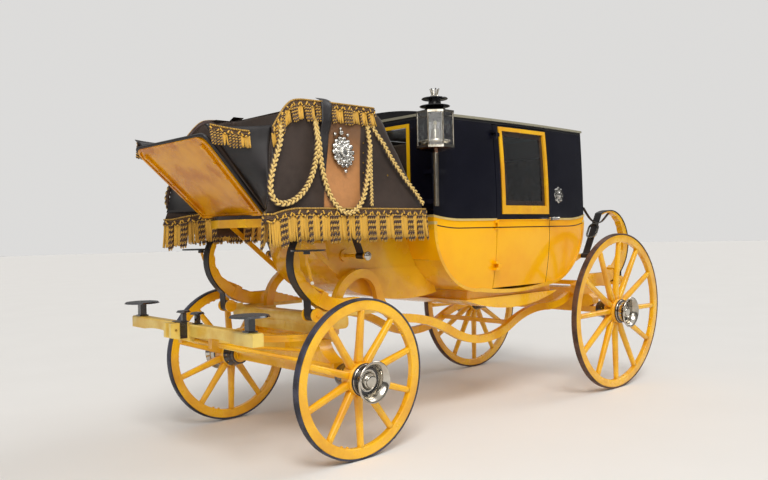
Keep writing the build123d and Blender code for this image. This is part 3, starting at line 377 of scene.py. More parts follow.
@dataclass(frozen=True)
class BodyFinish(Finish):
    """Cabin panels: dark above the belt, this finish's tone below, a painted bead shadow under the belt, lining inside.
    """

    upper: Tone = srgb(11, 12, 24)
    upper_aged: Tone = srgb(16, 17, 31)
    lining: Tone = srgb(70, 52, 38)
    # Dark line under the belt: the painted shadow of a raised bead moulding.
    line: Tone = srgb(66, 30, 8)
    bead_shadow_drop: float = 0.058
    bead_shadow_half: float = 0.0042
    belt: float = 1.428
    belt_rise: float = 0.044
    rise_length: float = 0.32
    flat_half: float = 0.6575
    middle: float = 1.0675 - MID_X

    def build(self, effects: Effects) -> Material:
        """The panel material; the belt height is 1.428 + 0.044 d^2, d from 0 to 1 over the last 0.32 m of each end."""
        canvas = self.start(effects)
        math_node, times = canvas.math, canvas.times
        _, x, y, z = canvas.axes()
        gap = math_node("SUBTRACT", x, self.middle)
        out = math_node("SUBTRACT", math_node("ABSOLUTE", gap), self.flat_half)
        share = math_node("DIVIDE", math_node("MAXIMUM", out, 0.0), self.rise_length)
        belt = math_node("MULTIPLY_ADD", times(share, share), self.belt_rise, self.belt)
        above = math_node("SUBTRACT", z, belt)
        # Painted bead shadow: a dark band 58 mm under the belt.
        near = math_node("LESS_THAN", math_node("ABSOLUTE", math_node("ADD", above, self.bead_shadow_drop)), self.bead_shadow_half)
        paint = canvas.mix(near, self.colour(canvas), self.line)
        shade = canvas.mix(times(canvas.age["Patch"], 0.5), self.upper, self.upper_aged)
        paint = canvas.mix(math_node("GREATER_THAN", above, 0.0), paint, shade)
        normal = canvas.node("SeparateXYZ", i0=canvas.node("TexCoord").outputs["Normal"]).outputs
        facing = math_node("MULTIPLY_ADD", normal[1], y, times(normal[0], gap))
        lined = canvas.mix(math_node("LESS_THAN", facing, -0.05), paint, self.lining)
        return self.settle(canvas, self.zoned(canvas, lined))


@dataclass(frozen=True)
class GlassFinish:
    """Clear old glass, slightly tinted."""

    name: str
    tint: Tone
    rough: float = 0.02

    def build(self, effects: Effects) -> Material:
        """The glass; its faint waves come from a broad noise."""
        canvas = Canvas(self.name, effects, 2.0, 9.0)
        paler = tuple(min(1.0, v * 1.06) for v in self.tint[:3]) + (1.0,)
        canvas.shade(Base_Color=canvas.mix(canvas.age["Patch"], self.tint, paler), Roughness=self.rough,
                     Transmission_Weight=1.0, IOR=1.45, Normal=canvas.bumped(0.04, 0.002, canvas.age["Grain"]))
        return canvas.material


def finishes() -> list[Finish | GlassFinish]:
    """Every finish of the carriage."""
    gloss, satin, cloth, metal = Sheen.GLOSS, Sheen.SATIN, Sheen.CLOTH, Sheen.METAL
    golden, amber = srgb(246, 188, 16), srgb(226, 156, 4)
    # The walnut tone is the sashes' dark brown; on the foot board it is painted gap shade.
    black, navy, walnut_and_gap_shade = srgb(12, 12, 15), srgb(12, 13, 24), srgb(42, 28, 22)
    knob = (KING_X + 0.225, 0.588)
    coach = BodyFinish("coach_panels", srgb(255, 188, 0), srgb(248, 168, 0), gloss, (0.16, 0.26), 2.0, 30.0, 0.02,
                       coat=0.22, specular=0.28)
    paint = Finish("golden_paint", golden, amber, gloss, (0.24, 0.4), 4.0, 45.0, 0.08, 0.002, 0.18, srgb(110, 70, 15),
                   coat=0.45)
    sash = Finish("sash_frame", golden, amber, gloss, (0.24, 0.4), 4.0, 45.0, 0.05, coat=0.5,
                  zones=(Zone(walnut_and_gap_shade, x=(0.750 - MID_X, 1.266 - MID_X), z=(1.532, 2.088)),))
    tyre = Finish("front_tyre_iron", srgb(64, 66, 84), srgb(36, 35, 44), satin, (0.45, 0.75), 9.0, 90.0, 0.35, 0.002,
                  0.6, srgb(128, 122, 128))
    leather = Finish("black_leather", srgb(22, 19, 20), srgb(36, 32, 34), satin, (0.38, 0.6), 6.0, 240.0, 0.3)
    thread = ThreadFinish("gold_thread", srgb(240, 186, 62), srgb(54, 28, 22), cloth, (0.5, 0.75), 20.0, 500.0, 0.4)
    # Black, unplated discs on top of the lamps: a painted reflection of a dark room in their plate.
    lamp_cap_painted_reflection = Zone(black, z=(2.1455, FAR), axis=LAMP, reach=(0.0305, FAR), metal=0.0)
    lamp_foot = Zone(navy, z=(-FAR, 1.874), axis=LAMP, reach=(0.0185, FAR), metal=0.0)
    return [
        coach,
        replace(coach, name="front_panels", zones=(Zone(golden, x=(0.5037, FAR), y=(0.0, 0.372), z=(1.47, 2.112)),)),
        paint,
        # Walnut band along the top of the foot board's front face: painted shade of the gap under the toe board.
        replace(paint, name="foot_paint_gap_shade", coat=0.4, zones=(Zone(walnut_and_gap_shade, x=(3.10 - MID_X, FAR), z=(1.450, FAR)),)),
        Finish("board_varnish", srgb(226, 156, 2), srgb(190, 112, 0), gloss, (0.2, 0.34), 5.0, 45.0, 0.05, 0.002, 0.1,
               srgb(110, 60, 10), coat=0.12, specular=0.3),
        sash,
        # Above 2.1 m the cornice is pale grey: a painted reflection of light along the black roof's edge.
        replace(sash, name="moulding_paint",
                zones=(Zone(srgb(148, 144, 124), z=(2.1, FAR)), Zone(srgb(214, 188, 116), z=(1.40, 1.56)))),
        replace(sash, name="step_iron", scale=6.0,
                zones=(Zone(black, z=(1.235, FAR)),
                       Zone(srgb(240, 236, 224), z=(1.04, 1.08), axis=knob, reach=(-1.0, 0.0135)))),
        # Paler, creamier yellow on the splinter bar, futchells and transom: a painted sheen, their light reflection
        # laid into the colour.
        Finish("pale_paint_painted_sheen", srgb(232, 203, 104), srgb(216, 170, 58), gloss, (0.3, 0.5), 6.0, 50.0, 0.12, 0.002, 0.3,
               srgb(120, 84, 30), coat=0.5),
        Finish("wheel_paint", srgb(250, 192, 22), srgb(228, 160, 10), gloss, (0.26, 0.45), 5.0, 45.0, 0.1, 0.002, 0.22,
               srgb(105, 70, 20), coat=0.6),
        Finish("roof_leather", srgb(14, 14, 18), srgb(26, 25, 28), satin, (0.3, 0.5), 4.0, 160.0, 0.2),
        tyre,
        replace(tyre, name="rear_tyre_iron", tone=srgb(100, 68, 52), aged=srgb(58, 42, 36), rough=(0.5, 0.8),
                speck_tone=srgb(140, 104, 80)),
        Finish("nickel_plate", srgb(205, 200, 190), srgb(172, 164, 150), metal, (0.08, 0.2), 7.0, 30.0, 0.02),
        Finish("lamp_plate", srgb(196, 192, 182), srgb(150, 142, 126), metal, (0.08, 0.2), 14.0, 30.0, 0.02,
               zones=(lamp_cap_painted_reflection,)),
        Finish("lamp_post_plate", srgb(196, 190, 178), srgb(158, 148, 132), metal, (0.1, 0.24), 14.0, 30.0, 0.02,
               zones=(lamp_foot, Zone(srgb(112, 66, 34), z=(1.876, FAR)))),
        Finish("old_silver", srgb(224, 222, 216), srgb(112, 108, 104), metal, (0.14, 0.3), 40.0, 120.0, 0.1),
        Finish("old_brass", srgb(196, 160, 80), srgb(120, 90, 40), metal, (0.2, 0.36), 30.0, 120.0, 0.1),
        Finish("black_enamel", srgb(16, 17, 22), srgb(32, 33, 42), gloss, (0.2, 0.4), 8.0, 60.0, 0.06),
        leather,
        replace(leather, name="brown_leather", tone=srgb(50, 34, 27), aged=srgb(72, 50, 38), rough=(0.4, 0.6)),
        Finish("varnished_wood", srgb(74, 44, 24), srgb(50, 30, 18), gloss, (0.25, 0.4), 5.0, 60.0, 0.08),
        WovenFinish("brown_cloth", srgb(52, 35, 24), srgb(40, 27, 19), cloth, (0.7, 0.9), 3.0, 60.0, 0.25, 0.0008,
                    panel=srgb(204, 140, 80)),
        WovenFinish("seat_cloth", srgb(96, 70, 46), srgb(74, 52, 34), cloth, (0.75, 0.95), 4.0, 60.0, 0.3, 0.0008),
        thread,
        # Rope: its dark tone paints the shade under the strands and in the gaps between them.
        replace(thread, name="rope_thread", tone=srgb(240, 206, 124), aged=srgb(66, 38, 20)),
        GlassFinish("window_glass", (0.82, 0.86, 0.88, 1.0)),
        GlassFinish("lamp_pane", (0.95, 0.97, 0.97, 1.0)),
        Finish("candle_wax", srgb(236, 226, 200), srgb(222, 208, 176), satin, (0.4, 0.5), 8.0, 60.0, 0.05),
    ]


# ---------------------------------------------------------------- mesh making


class Surface:
    """Collects grids of points into one mesh, each grid a function of two parameters."""

    def __init__(self) -> None:
        """Starts with nothing."""
        self.points: list[Grid] = []
        self.faces: list[Grid] = []
        self.tones: list[Grid] = []
        self.count = 0

    def grid(self, p: Grid, close_u: bool = False, close_v: bool = False, tone: Grid | float = 1.0,
             flip: bool = False) -> "Surface":
        """Adds one grid, or many of the same size.

        Args:
            p: points, shaped (..., U, V, 3); faces join neighbours in U and V.
            close_u: whether the last row in U joins the first.
            close_v: whether the last column in V joins the first.
            tone: value kept on each point, from 0 to 1.
            flip: whether the faces turn the other way.
        Returns:
            This surface.
        """
        u, v = p.shape[-3], p.shape[-2]
        flat = p.reshape(-1, u, v, 3)
        many = len(flat)
        a, b = np.meshgrid(np.arange(u if close_u else u - 1), np.arange(v if close_v else v - 1), indexing="ij")
        a2, b2 = (a + 1) % u, (b + 1) % v
        quad = np.stack([a * v + b, a2 * v + b, a2 * v + b2, a * v + b2], -1).reshape(-1, 4)
        if flip:
            quad = quad[:, ::-1]
        start = self.count + np.arange(many)[:, None, None] * (u * v)
        self.faces.append((quad[None] + start).reshape(-1, 4))
        self.points.append(flat.reshape(-1, 3))
        self.tones.append(np.broadcast_to(np.asarray(tone, float), p.shape[:-1]).reshape(-1))
        self.count += many * u * v
        return self

    def make(self, name: str, weld: bool = True) -> Piece:
        """One smooth mesh object from all that was added.

        Args:
            name: the object's name.
            weld: whether points in one place are merged.
        Returns:
            The object, linked to the scene and placed at the origin.
        """
        mesh = bpy.data.meshes.new(name)
        points = np.concatenate(self.points).astype(np.float32)
        mesh.from_pydata(points.tolist(), [], np.concatenate(self.faces).tolist())
        attribute = mesh.attributes.new("tone", "FLOAT", "POINT")
        attribute.data.foreach_set("value", np.concatenate(self.tones).astype(np.float32))
        mesh.shade_smooth()
        obj = linked(name, mesh)
        if weld:
            tidy(obj)
        return obj


def linked(name: str, data: bpy.types.ID) -> Piece:
    """New object for a mesh, curve, camera or lamp, linked to the scene."""
    obj = bpy.data.objects.new(name, data)
    bpy.context.scene.collection.objects.link(obj)
    return obj


def tidy(obj: Piece, distance: float = 1e-5) -> Piece:
    """Merges points in one place, drops faces with no area and turns all faces outwards."""
    work = bmesh.new()
    work.from_mesh(obj.data)
    bmesh.ops.remove_doubles(work, verts=work.verts, dist=distance)
    bmesh.ops.dissolve_degenerate(work, edges=work.edges, dist=distance)
    bmesh.ops.recalc_face_normals(work, faces=work.faces)
    work.to_mesh(obj.data)
    work.free()
    return obj


def frames(path: Grid, up: Grid) -> tuple[Grid, Grid]:
    """Side and lift directions along a path: side = tangent x up, lift = side x tangent, each of length one."""
    tangent = np.gradient(path, axis=-2)
    tangent /= np.linalg.norm(tangent, axis=-1, keepdims=True)
    side = np.cross(tangent, up)
    side /= np.linalg.norm(side, axis=-1, keepdims=True) + 1e-12
    return side, np.cross(side, tangent)


def tube(path: Grid, radius: Grid | float, sides: int = 8, up: Vec = (0.0, 0.0, 1.0), squash: float = 1.0) -> Grid:
    """Grid of a tube: path + r (cos a side + k sin a lift), its ends drawn in to a point.

    Args:
        path: points, shaped (..., N, 3).
        radius: one value or one for each point.
        sides: points round the tube.
        up: direction that fixes the tube's roll.
        squash: height of the section over its width.
    Returns:
        Points shaped (..., N + 2, sides, 3), to be closed in V.
    """
    side, lift = frames(path, np.asarray(up, float))
    a = circle(sides)
    r = np.broadcast_to(np.asarray(radius, float), path.shape[:-1])[..., None, None]
    ring = side[..., None, :] * np.cos(a)[:, None] + lift[..., None, :] * (np.sin(a) * squash)[:, None]
    body = path[..., None, :] + ring * r
    first, last = (np.repeat(end[..., None, :], sides, axis=-2) for end in (path[..., :1, :], path[..., -1:, :]))
    return np.concatenate([first, body, last], axis=-3)


def circle(count: int) -> Grid:
    """Even angles round a full turn, from nought."""
    return np.linspace(0, 2 * np.pi, count, endpoint=False)


def run_length(line: Grid) -> Grid:
    """Length along a line, from nought, at each of its points."""
    return np.concatenate([[0], np.cumsum(np.linalg.norm(np.diff(line, axis=0), axis=1))])


def route(points: list[Vec], step: float = 0.01) -> Grid:
    """Even points along a smooth NURBS line.

    Args:
        points: the line's control points.
        step: how far apart the points that come back are.
    Returns:
        Points shaped (N, 3).
    """
    curve = bpy.data.curves.new("route", "CURVE")
    curve.dimensions = "3D"
    spline = curve.splines.new("NURBS")
    spline.points.add(len(points) - 1)
    spline.points.foreach_set("co", np.hstack([np.array(points, float), np.ones((len(points), 1))]).ravel())
    spline.order_u = 3
    spline.use_endpoint_u = True
    curve.resolution_u = 16
    obj = linked("route", curve)
    mesh = bpy.data.meshes.new_from_object(obj)
    line = mesh_points(mesh)
    bpy.data.objects.remove(obj)
    bpy.data.curves.remove(curve)
    bpy.data.meshes.remove(mesh)
    return even(line, step)


def mesh_points(mesh: bpy.types.Mesh) -> Grid:
    """Places of a mesh's points, shaped (N, 3)."""
    out = np.zeros(len(mesh.vertices) * 3)
    mesh.vertices.foreach_get("co", out)
    return out.reshape(-1, 3)


def even(line: Grid, step: float) -> Grid:
    """The same line with points an even step apart."""
    length = run_length(line)
    marks = np.linspace(0, length[-1], max(4, int(length[-1] / step) + 1))
    return np.stack([np.interp(marks, length, line[:, k]) for k in range(3)], 1)


def capped(grid: Grid) -> Grid:
    """A grid closed in V with a row added at each end, drawn in to that end's middle, so that welding shuts it."""
    first, last = grid[..., :1, :, :], grid[..., -1:, :, :]
    start = np.broadcast_to(first.mean(-2, keepdims=True), first.shape)
    end = np.broadcast_to(last.mean(-2, keepdims=True), last.shape)
    return np.concatenate([start, grid, end], -3)


def lathe(profile: list[Span] | Grid, segments: int = 96) -> Grid:
    """Grid of a turned form about Y: (r cos a, y, r sin a)."""
    p = np.asarray(profile, float)
    a = circle(segments)[:, None]
    return np.stack([np.cos(a) * p[:, 0], np.ones_like(a) * p[:, 1], np.sin(a) * p[:, 0]], -1)


def rounded(profile: list[Span], radius: float = 0.003, parts: int = 3, closed: bool = False) -> Grid:
    """Profile whose corners are eased by quadratic blends: (1-s)^2 a + 2 s (1-s) p + s^2 b."""
    p = np.asarray(profile, float)
    starts = []
    for way in (np.roll(p, 1, 0) - p, np.roll(p, -1, 0) - p):
        long = np.linalg.norm(way, axis=1, keepdims=True)
        starts.append(p + way / np.maximum(long, 1e-9) * np.minimum(radius, long * 0.45))
    a, b = starts
    s = np.linspace(0, 1, parts)[None, :, None]
    bent = (1 - s) ** 2 * a[:, None] + 2 * s * (1 - s) * p[:, None] + s ** 2 * b[:, None]
    if not closed:
        return np.concatenate([p[:1], bent[1:-1].reshape(-1, 2), p[-1:]])
    return bent.reshape(-1, 2)


def turn(points: Grid, matrix: Grid, place: Vec) -> Grid:
    """Points turned by a matrix and moved to a place."""
    return points @ np.asarray(matrix, float).T + np.asarray(place, float)


def tilt_x(angle: float) -> Grid:
    """Turn about X."""
    c, s = math.cos(angle), math.sin(angle)
    return np.array([[1, 0, 0], [0, c, -s], [0, s, c]])


def spin_y(angle: Grid) -> Grid:
    """Turns about Y, one matrix for each angle."""
    c, s = np.cos(angle), np.sin(angle)
    o, i = np.zeros_like(c), np.ones_like(c)
    return np.stack([np.stack([c, o, s], -1), np.stack([o, i, o], -1), np.stack([-s, o, c], -1)], -2)


def mirror_y(points: Grid) -> Grid:
    """Points mirrored across the middle plane."""
    return points * np.array([1.0, -1.0, 1.0])


def balls(centres: Grid, size: Grid | float, rows: int, columns: int, stretch: Vec = (1.0, 1.0, 1.0)) -> Grid:
    """Grids of balls, one for each centre: r (sin u cos v, cos u, sin u sin v) about it, stretched along the axes."""
    u, v = np.meshgrid(np.linspace(0, np.pi, rows), np.linspace(0, 2 * np.pi, columns), indexing="ij")
    form = np.stack([np.sin(u) * np.cos(v), np.cos(u), np.sin(u) * np.sin(v)], -1) * stretch
    return np.asarray(centres, float)[:, None, None] + form * np.asarray(size, float).reshape(-1, 1, 1, 1)


def bolt_heads(places: Grid, normals: Grid | Vec, radius: float, height: float, sides: int = 6) -> Grid:
    """Grids of domed bolt heads: rings of radius r cos t at height h sin t over each place.

    Args:
        places: points shaped (N, 3).
        normals: directions shaped (N, 3) or one direction.
        radius: the head's radius.
        height: the head's height.
        sides: points round the head.
    Returns:
        Points shaped (N, 6, sides, 3), the first ring drawn in to shut the base.
    """
    places = np.asarray(places, float).reshape(-1, 3)
    n = np.broadcast_to(np.asarray(normals, float), places.shape)
    n = n / np.linalg.norm(n, axis=1, keepdims=True)
    helper = np.where(np.abs(n[:, 2:3]) < 0.9, np.array([[0.0, 0.0, 1.0]]), np.array([[1.0, 0.0, 0.0]]))
    side = np.cross(n, helper)
    side /= np.linalg.norm(side, axis=1, keepdims=True)
    lift = np.cross(n, side)
    rings = np.array([(0.0, -0.15), (1.0, -0.15), (1.0, 0.55), (0.82, 0.85), (0.45, 1.0), (0.0, 1.02)])
    a = circle(sides)
    around = side[:, None] * np.cos(a)[None, :, None] + lift[:, None] * np.sin(a)[None, :, None]
    out = places[:, None, None] + around[:, None] * (rings[:, 0] * radius)[None, :, None, None]
    return out + n[:, None, None] * (rings[:, 1] * height)[None, :, None, None]


def doubled(left: Surface) -> Surface:
    """A surface and its mirror image across the middle plane, faces turned to suit."""
    out = Surface()
    out.points = left.points + [mirror_y(p) for p in left.points]
    out.faces = left.faces + [f[:, ::-1] + left.count for f in left.faces]
    out.tones = left.tones + left.tones
    out.count = left.count * 2
    return out


def thicken(obj: Piece, name: str, thickness: float, offset: float) -> None:
    """Gives a single sheet its thickness."""
    solid = obj.modifiers.new(name, "SOLIDIFY")
    solid.thickness, solid.offset = thickness, offset


def mesh_area(obj: Piece) -> float:
    """Area of all the faces of a mesh."""
    areas = np.zeros(len(obj.data.polygons))
    obj.data.polygons.foreach_get("area", areas)
    LOG.info("%s area %.3f", obj.name, areas.sum())
    return float(areas.sum())


class Bench:
    """Where pieces are dressed and put on their bodies, and the CAD nodes that they stand for are hidden."""

    def __init__(self) -> None:
        """Builds all the finishes."""
        effects = Effects()
        self.materials = {finish.name: finish.build(effects) for finish in finishes()}

    def dress(self, obj: Piece, finish: str) -> None:
        """Gives an object one finish in place of its present ones."""
        obj.data.materials.clear()
        obj.data.materials.append(self.materials[finish])

    def keep(self, obj: Piece, finish: str, slot: str, replaced: tuple[str, ...] = (), body: str = "carriage") -> Piece:
        """Finishes one piece.

        Args:
            obj: the piece.
            finish: name of its finish.
            slot: name of a material slot; not used.
            replaced: CAD nodes that it stands for.
            body: the body it rides on.
        Returns:
            The same piece.
        """
        self.dress(obj, finish)
        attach(obj, body)
        if replaced:
            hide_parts(*replaced)
        LOG.info("%s: %d faces", obj.name, len(obj.data.polygons))
        return obj

    def piece(self, surface: Surface, name: str, *finishing: object, weld: bool = True) -> Piece:
        """Makes a piece from a surface, welded or not, and finishes it with what keep takes after the piece."""
        return self.keep(surface.make(name, weld), *finishing)


# ---------------------------------------------------------------- wheels


@dataclass
class Wheel:
    """One spoked wheel with its tyre and nave cap, all on the wheel's body."""

    where: str
    hand: str
    x: float
    track: float
    radius: float
    spokes: int
    tyre_width: float = 0.045
    tyre_depth: float = 0.012
    felloe_depth: float = 0.062
    felloe_width: float = 0.042
    nave: float = 0.097
    nave_out: float = 0.030
    dish: float = 0.026

    def place(self, points: Grid) -> Grid:
        """Points about the wheel's own axis, leaned by the camber and set on the axle arm."""
        height = self.radius * math.cos(CAMBER) + self.tyre_width / 2 * math.sin(CAMBER)
        out = turn(points, tilt_x(-CAMBER), (self.x, self.track, height))
        return out if self.hand == "left" else mirror_y(out)

    def turned(self, surface: Surface, profile: Grid, segments: int) -> Surface:
        """Adds a closed ring turned about the axle."""
        return surface.grid(self.place(lathe(profile, segments)), close_u=True, close_v=True)

    def heads(self, surface: Surface, angles: Grid, radius: float, y: float, normals: Grid | Vec,
              size: Span) -> Surface:
        """Adds six-sided bolt heads round the axle.

        Args:
            surface: what they are added to.
            angles: where they are, from the X axis.
            radius: how far they are from the axle.
            y: how far along it they are.
            normals: the way that each faces, or all.
            size: a head's radius and height.
        Returns:
            The surface.
        """
        ring = np.stack([np.cos(angles) * radius, np.full_like(angles, y), np.sin(angles) * radius], -1)
        return surface.grid(self.place(bolt_heads(ring, normals, *size)), close_v=True)

    def wood(self) -> Surface:
        """Felloe, nave and spokes."""
        out = self.radius - self.tyre_depth + 0.0005
        rim = out - self.felloe_depth
        h = self.felloe_width / 2
        ring = [(out, -h), (out, h), (rim + 0.004, h), (rim, h - 0.006), (rim, 0.006 - h), (rim + 0.004, -h)]
        surface = self.turned(Surface(), rounded(ring, 0.006, 4, True), 128)
        hub = [(0.026, -0.165), (0.058, -0.165), (0.066, -0.155), (0.066, -0.14), (0.07, -0.132), (0.088, -0.074),
               (0.094, -0.07), (self.nave, -0.06), (self.nave, 0.012), (0.093, 0.016), (0.093, 0.022), (0.097, 0.025),
               (0.097, 0.033), (0.08, 0.036), (0.026, 0.036)]
        self.turned(surface, rounded(hub), 96)
        return surface.grid(self.place(capped(self.spoke_grids(rim))), close_v=True)

    def spoke_grids(self, rim: float) -> Grid:
        """Spokes: superellipse sections |x/a|^p + |y/b|^p = 1 carried out from the nave, thin at throat and tongue."""
        t = np.linspace(0, 1, 13)
        root, marks = self.nave - 0.012, (0, 0.1, 0.22, 0.6, 0.9, 1.0)
        z = root + t * (rim + 0.006 - root)
        wide = np.interp(t, marks, (0.0235, 0.0240, 0.0225, 0.0210, 0.0195, 0.0200))[:, None]
        deep = np.interp(t, marks, (0.0270, 0.0265, 0.0250, 0.0230, 0.0195, 0.0200))[:, None]
        e = 2 / np.interp(t, [0, 0.15, 0.4, 1], [5.0, 3.2, 2.4, 2.8])[:, None]
        y = -self.dish * (1 - t)[:, None]
        a = circle(16)
        c, s = np.cos(a)[None], np.sin(a)[None]
        px = wide * np.sign(c) * np.abs(c) ** e
        py = y + deep * np.sign(s) * np.abs(s) ** e
        one = np.stack([px, py, np.broadcast_to(z[:, None], px.shape)], -1)
        return np.einsum("kij,uvj->kuvi", spin_y(np.arange(self.spokes) * 2 * np.pi / self.spokes), one)

    def tyre(self) -> Surface:
        """Iron tyre with eased edges."""
        inner, h = self.radius - self.tyre_depth, self.tyre_width / 2
        band = [(inner, -h), (self.radius, -h), (self.radius, h), (inner, h)]
        return self.turned(Surface(), rounded(band, 0.004, 4, True), 144)

    def plates(self) -> Surface:
        """Bolts on the felloe's inner face, two at each joint, and studs round the back of the nave."""
        rim = self.radius - self.tyre_depth - self.felloe_depth
        step = 2 * np.pi / self.spokes
        joints = (np.arange(self.spokes // 2) * 2 + 0.5) * step
        bolts = np.pi / 2 - (joints[:, None] + np.array([-0.055, 0.055])[None]).ravel()
        inwards = -np.stack([np.cos(bolts), np.zeros_like(bolts), np.sin(bolts)], -1)
        surface = self.heads(Surface(), bolts, rim - 0.0005, 0.0, inwards, (0.009, 0.007))
        studs = np.pi / 2 - (np.arange(self.spokes) + 0.5) * step
        return self.heads(surface, studs, 0.079, -0.1, (0, -1, 0), (0.006, 0.004))

    def bell(self) -> Surface:
        """Polished cap: ringed band, flared bell mouth, and the axle nut down inside."""
        r, y, mouth = self.nave - 0.009, self.nave_out, 0.121
        band = [(-0.006, -0.001), (0.001, 0.0), (0.001, 0.003), (0.005, 0.005), (0.006, 0.009), (0.005, 0.013),
                (0.001, 0.015), (0.0, 0.019), (0.002, 0.021), (0.002, 0.024), (-0.001, 0.026), (-0.002, 0.03),
                (-0.001, 0.042), (0.003, 0.055), (0.011, 0.068), (0.022, 0.079), (mouth - r, 0.088)]
        arc = np.linspace(0, 1, 9)
        lip = np.stack([mouth + 0.004 * np.sin(arc * np.pi), 0.088 + 0.01 * arc], -1)
        inside = [(0.115, 0.098), (0.104, 0.086), (0.094, 0.074), (0.086, 0.058), (0.081, 0.04), (0.079, 0.036),
                  (0.062, 0.034), (0.05, 0.034), (0.049, 0.04), (0.046, 0.056), (0.04, 0.058), (0.038, 0.06),
                  (0.038, 0.068), (0.034, 0.0705), (0.022, 0.0715), (0.0, 0.0718)]
        profile = np.concatenate([[(-r, -0.001)], band, lip - (r, 0.0), np.array(inside) - (r, 0.0)]) + (r, y)
        surface = Surface().grid(self.place(lathe(profile, 96)), close_u=True)
        return self.heads(surface, np.arange(6) * np.pi / 3, 0.056, y + 0.034, (0, 1, 0), (0.006, 0.004))

    def rings(self) -> Surface:
        """Dark lines on the nave band beside the cap, a painted dark reflection behind its nut, and a black ring at the
        back.
        """
        surface, r = Surface(), self.nave - 0.0075
        for y, low, wide in ((0.0345, self.nave - 0.001, 0.0034), (0.0475, r, 0.0026), (0.0555, r, 0.0026)):
            a, b = low - 0.002, low + 0.0035
            line = [(a, y - wide), (b, y - wide), (b, y + wide), (a, y + wide)]
            self.turned(surface, rounded(line, 0.001, 3, True), 72)
        # Black disc behind the nut: painted dark reflection inside the cap's mouth.
        a, b = self.nave_out + 0.036, self.nave_out + 0.038
        self.turned(surface, rounded([(0.0795, a), (0.0795, b), (0.066, b), (0.066, a)], 0.0004, 2, True), 64)
        nave_back_ring = [(0.058, -0.167), (0.0685, -0.167), (0.0685, -0.1405), (0.0725, -0.1335), (0.0905, -0.0755),
                  (0.0905, -0.0725), (0.058, -0.0725)]
        return self.turned(surface, rounded(nave_back_ring, 0.002, 3, True), 72)

    def make(self, bench: Bench) -> None:
        """Builds the wheel's pieces on their body."""
        tag = f"{self.where}_{self.hand}"
        for surface, name, finish, slot, node in (
            (self.wood(), "spoked_wheel", "wheel_paint", "yellow_paint", "wheel"),
            (self.tyre(), "iron_tyre", f"{self.where}_tyre_iron", "tyre_iron", "tyre"),
            (self.bell(), "polished_cap", "nickel_plate", "nickel", "nave_cap"),
            (self.plates(), "felloe_bolts", "wheel_paint", "yellow_paint", ""),
            (self.rings(), "nave_lines", "black_enamel", "black_iron", ""),
        ):
            bench.piece(surface, f"{name}_{tag}", finish, slot, (f"{node}_{tag}",) if node else (), f"wheel_{tag}_body")


# ---------------------------------------------------------------- draped seat


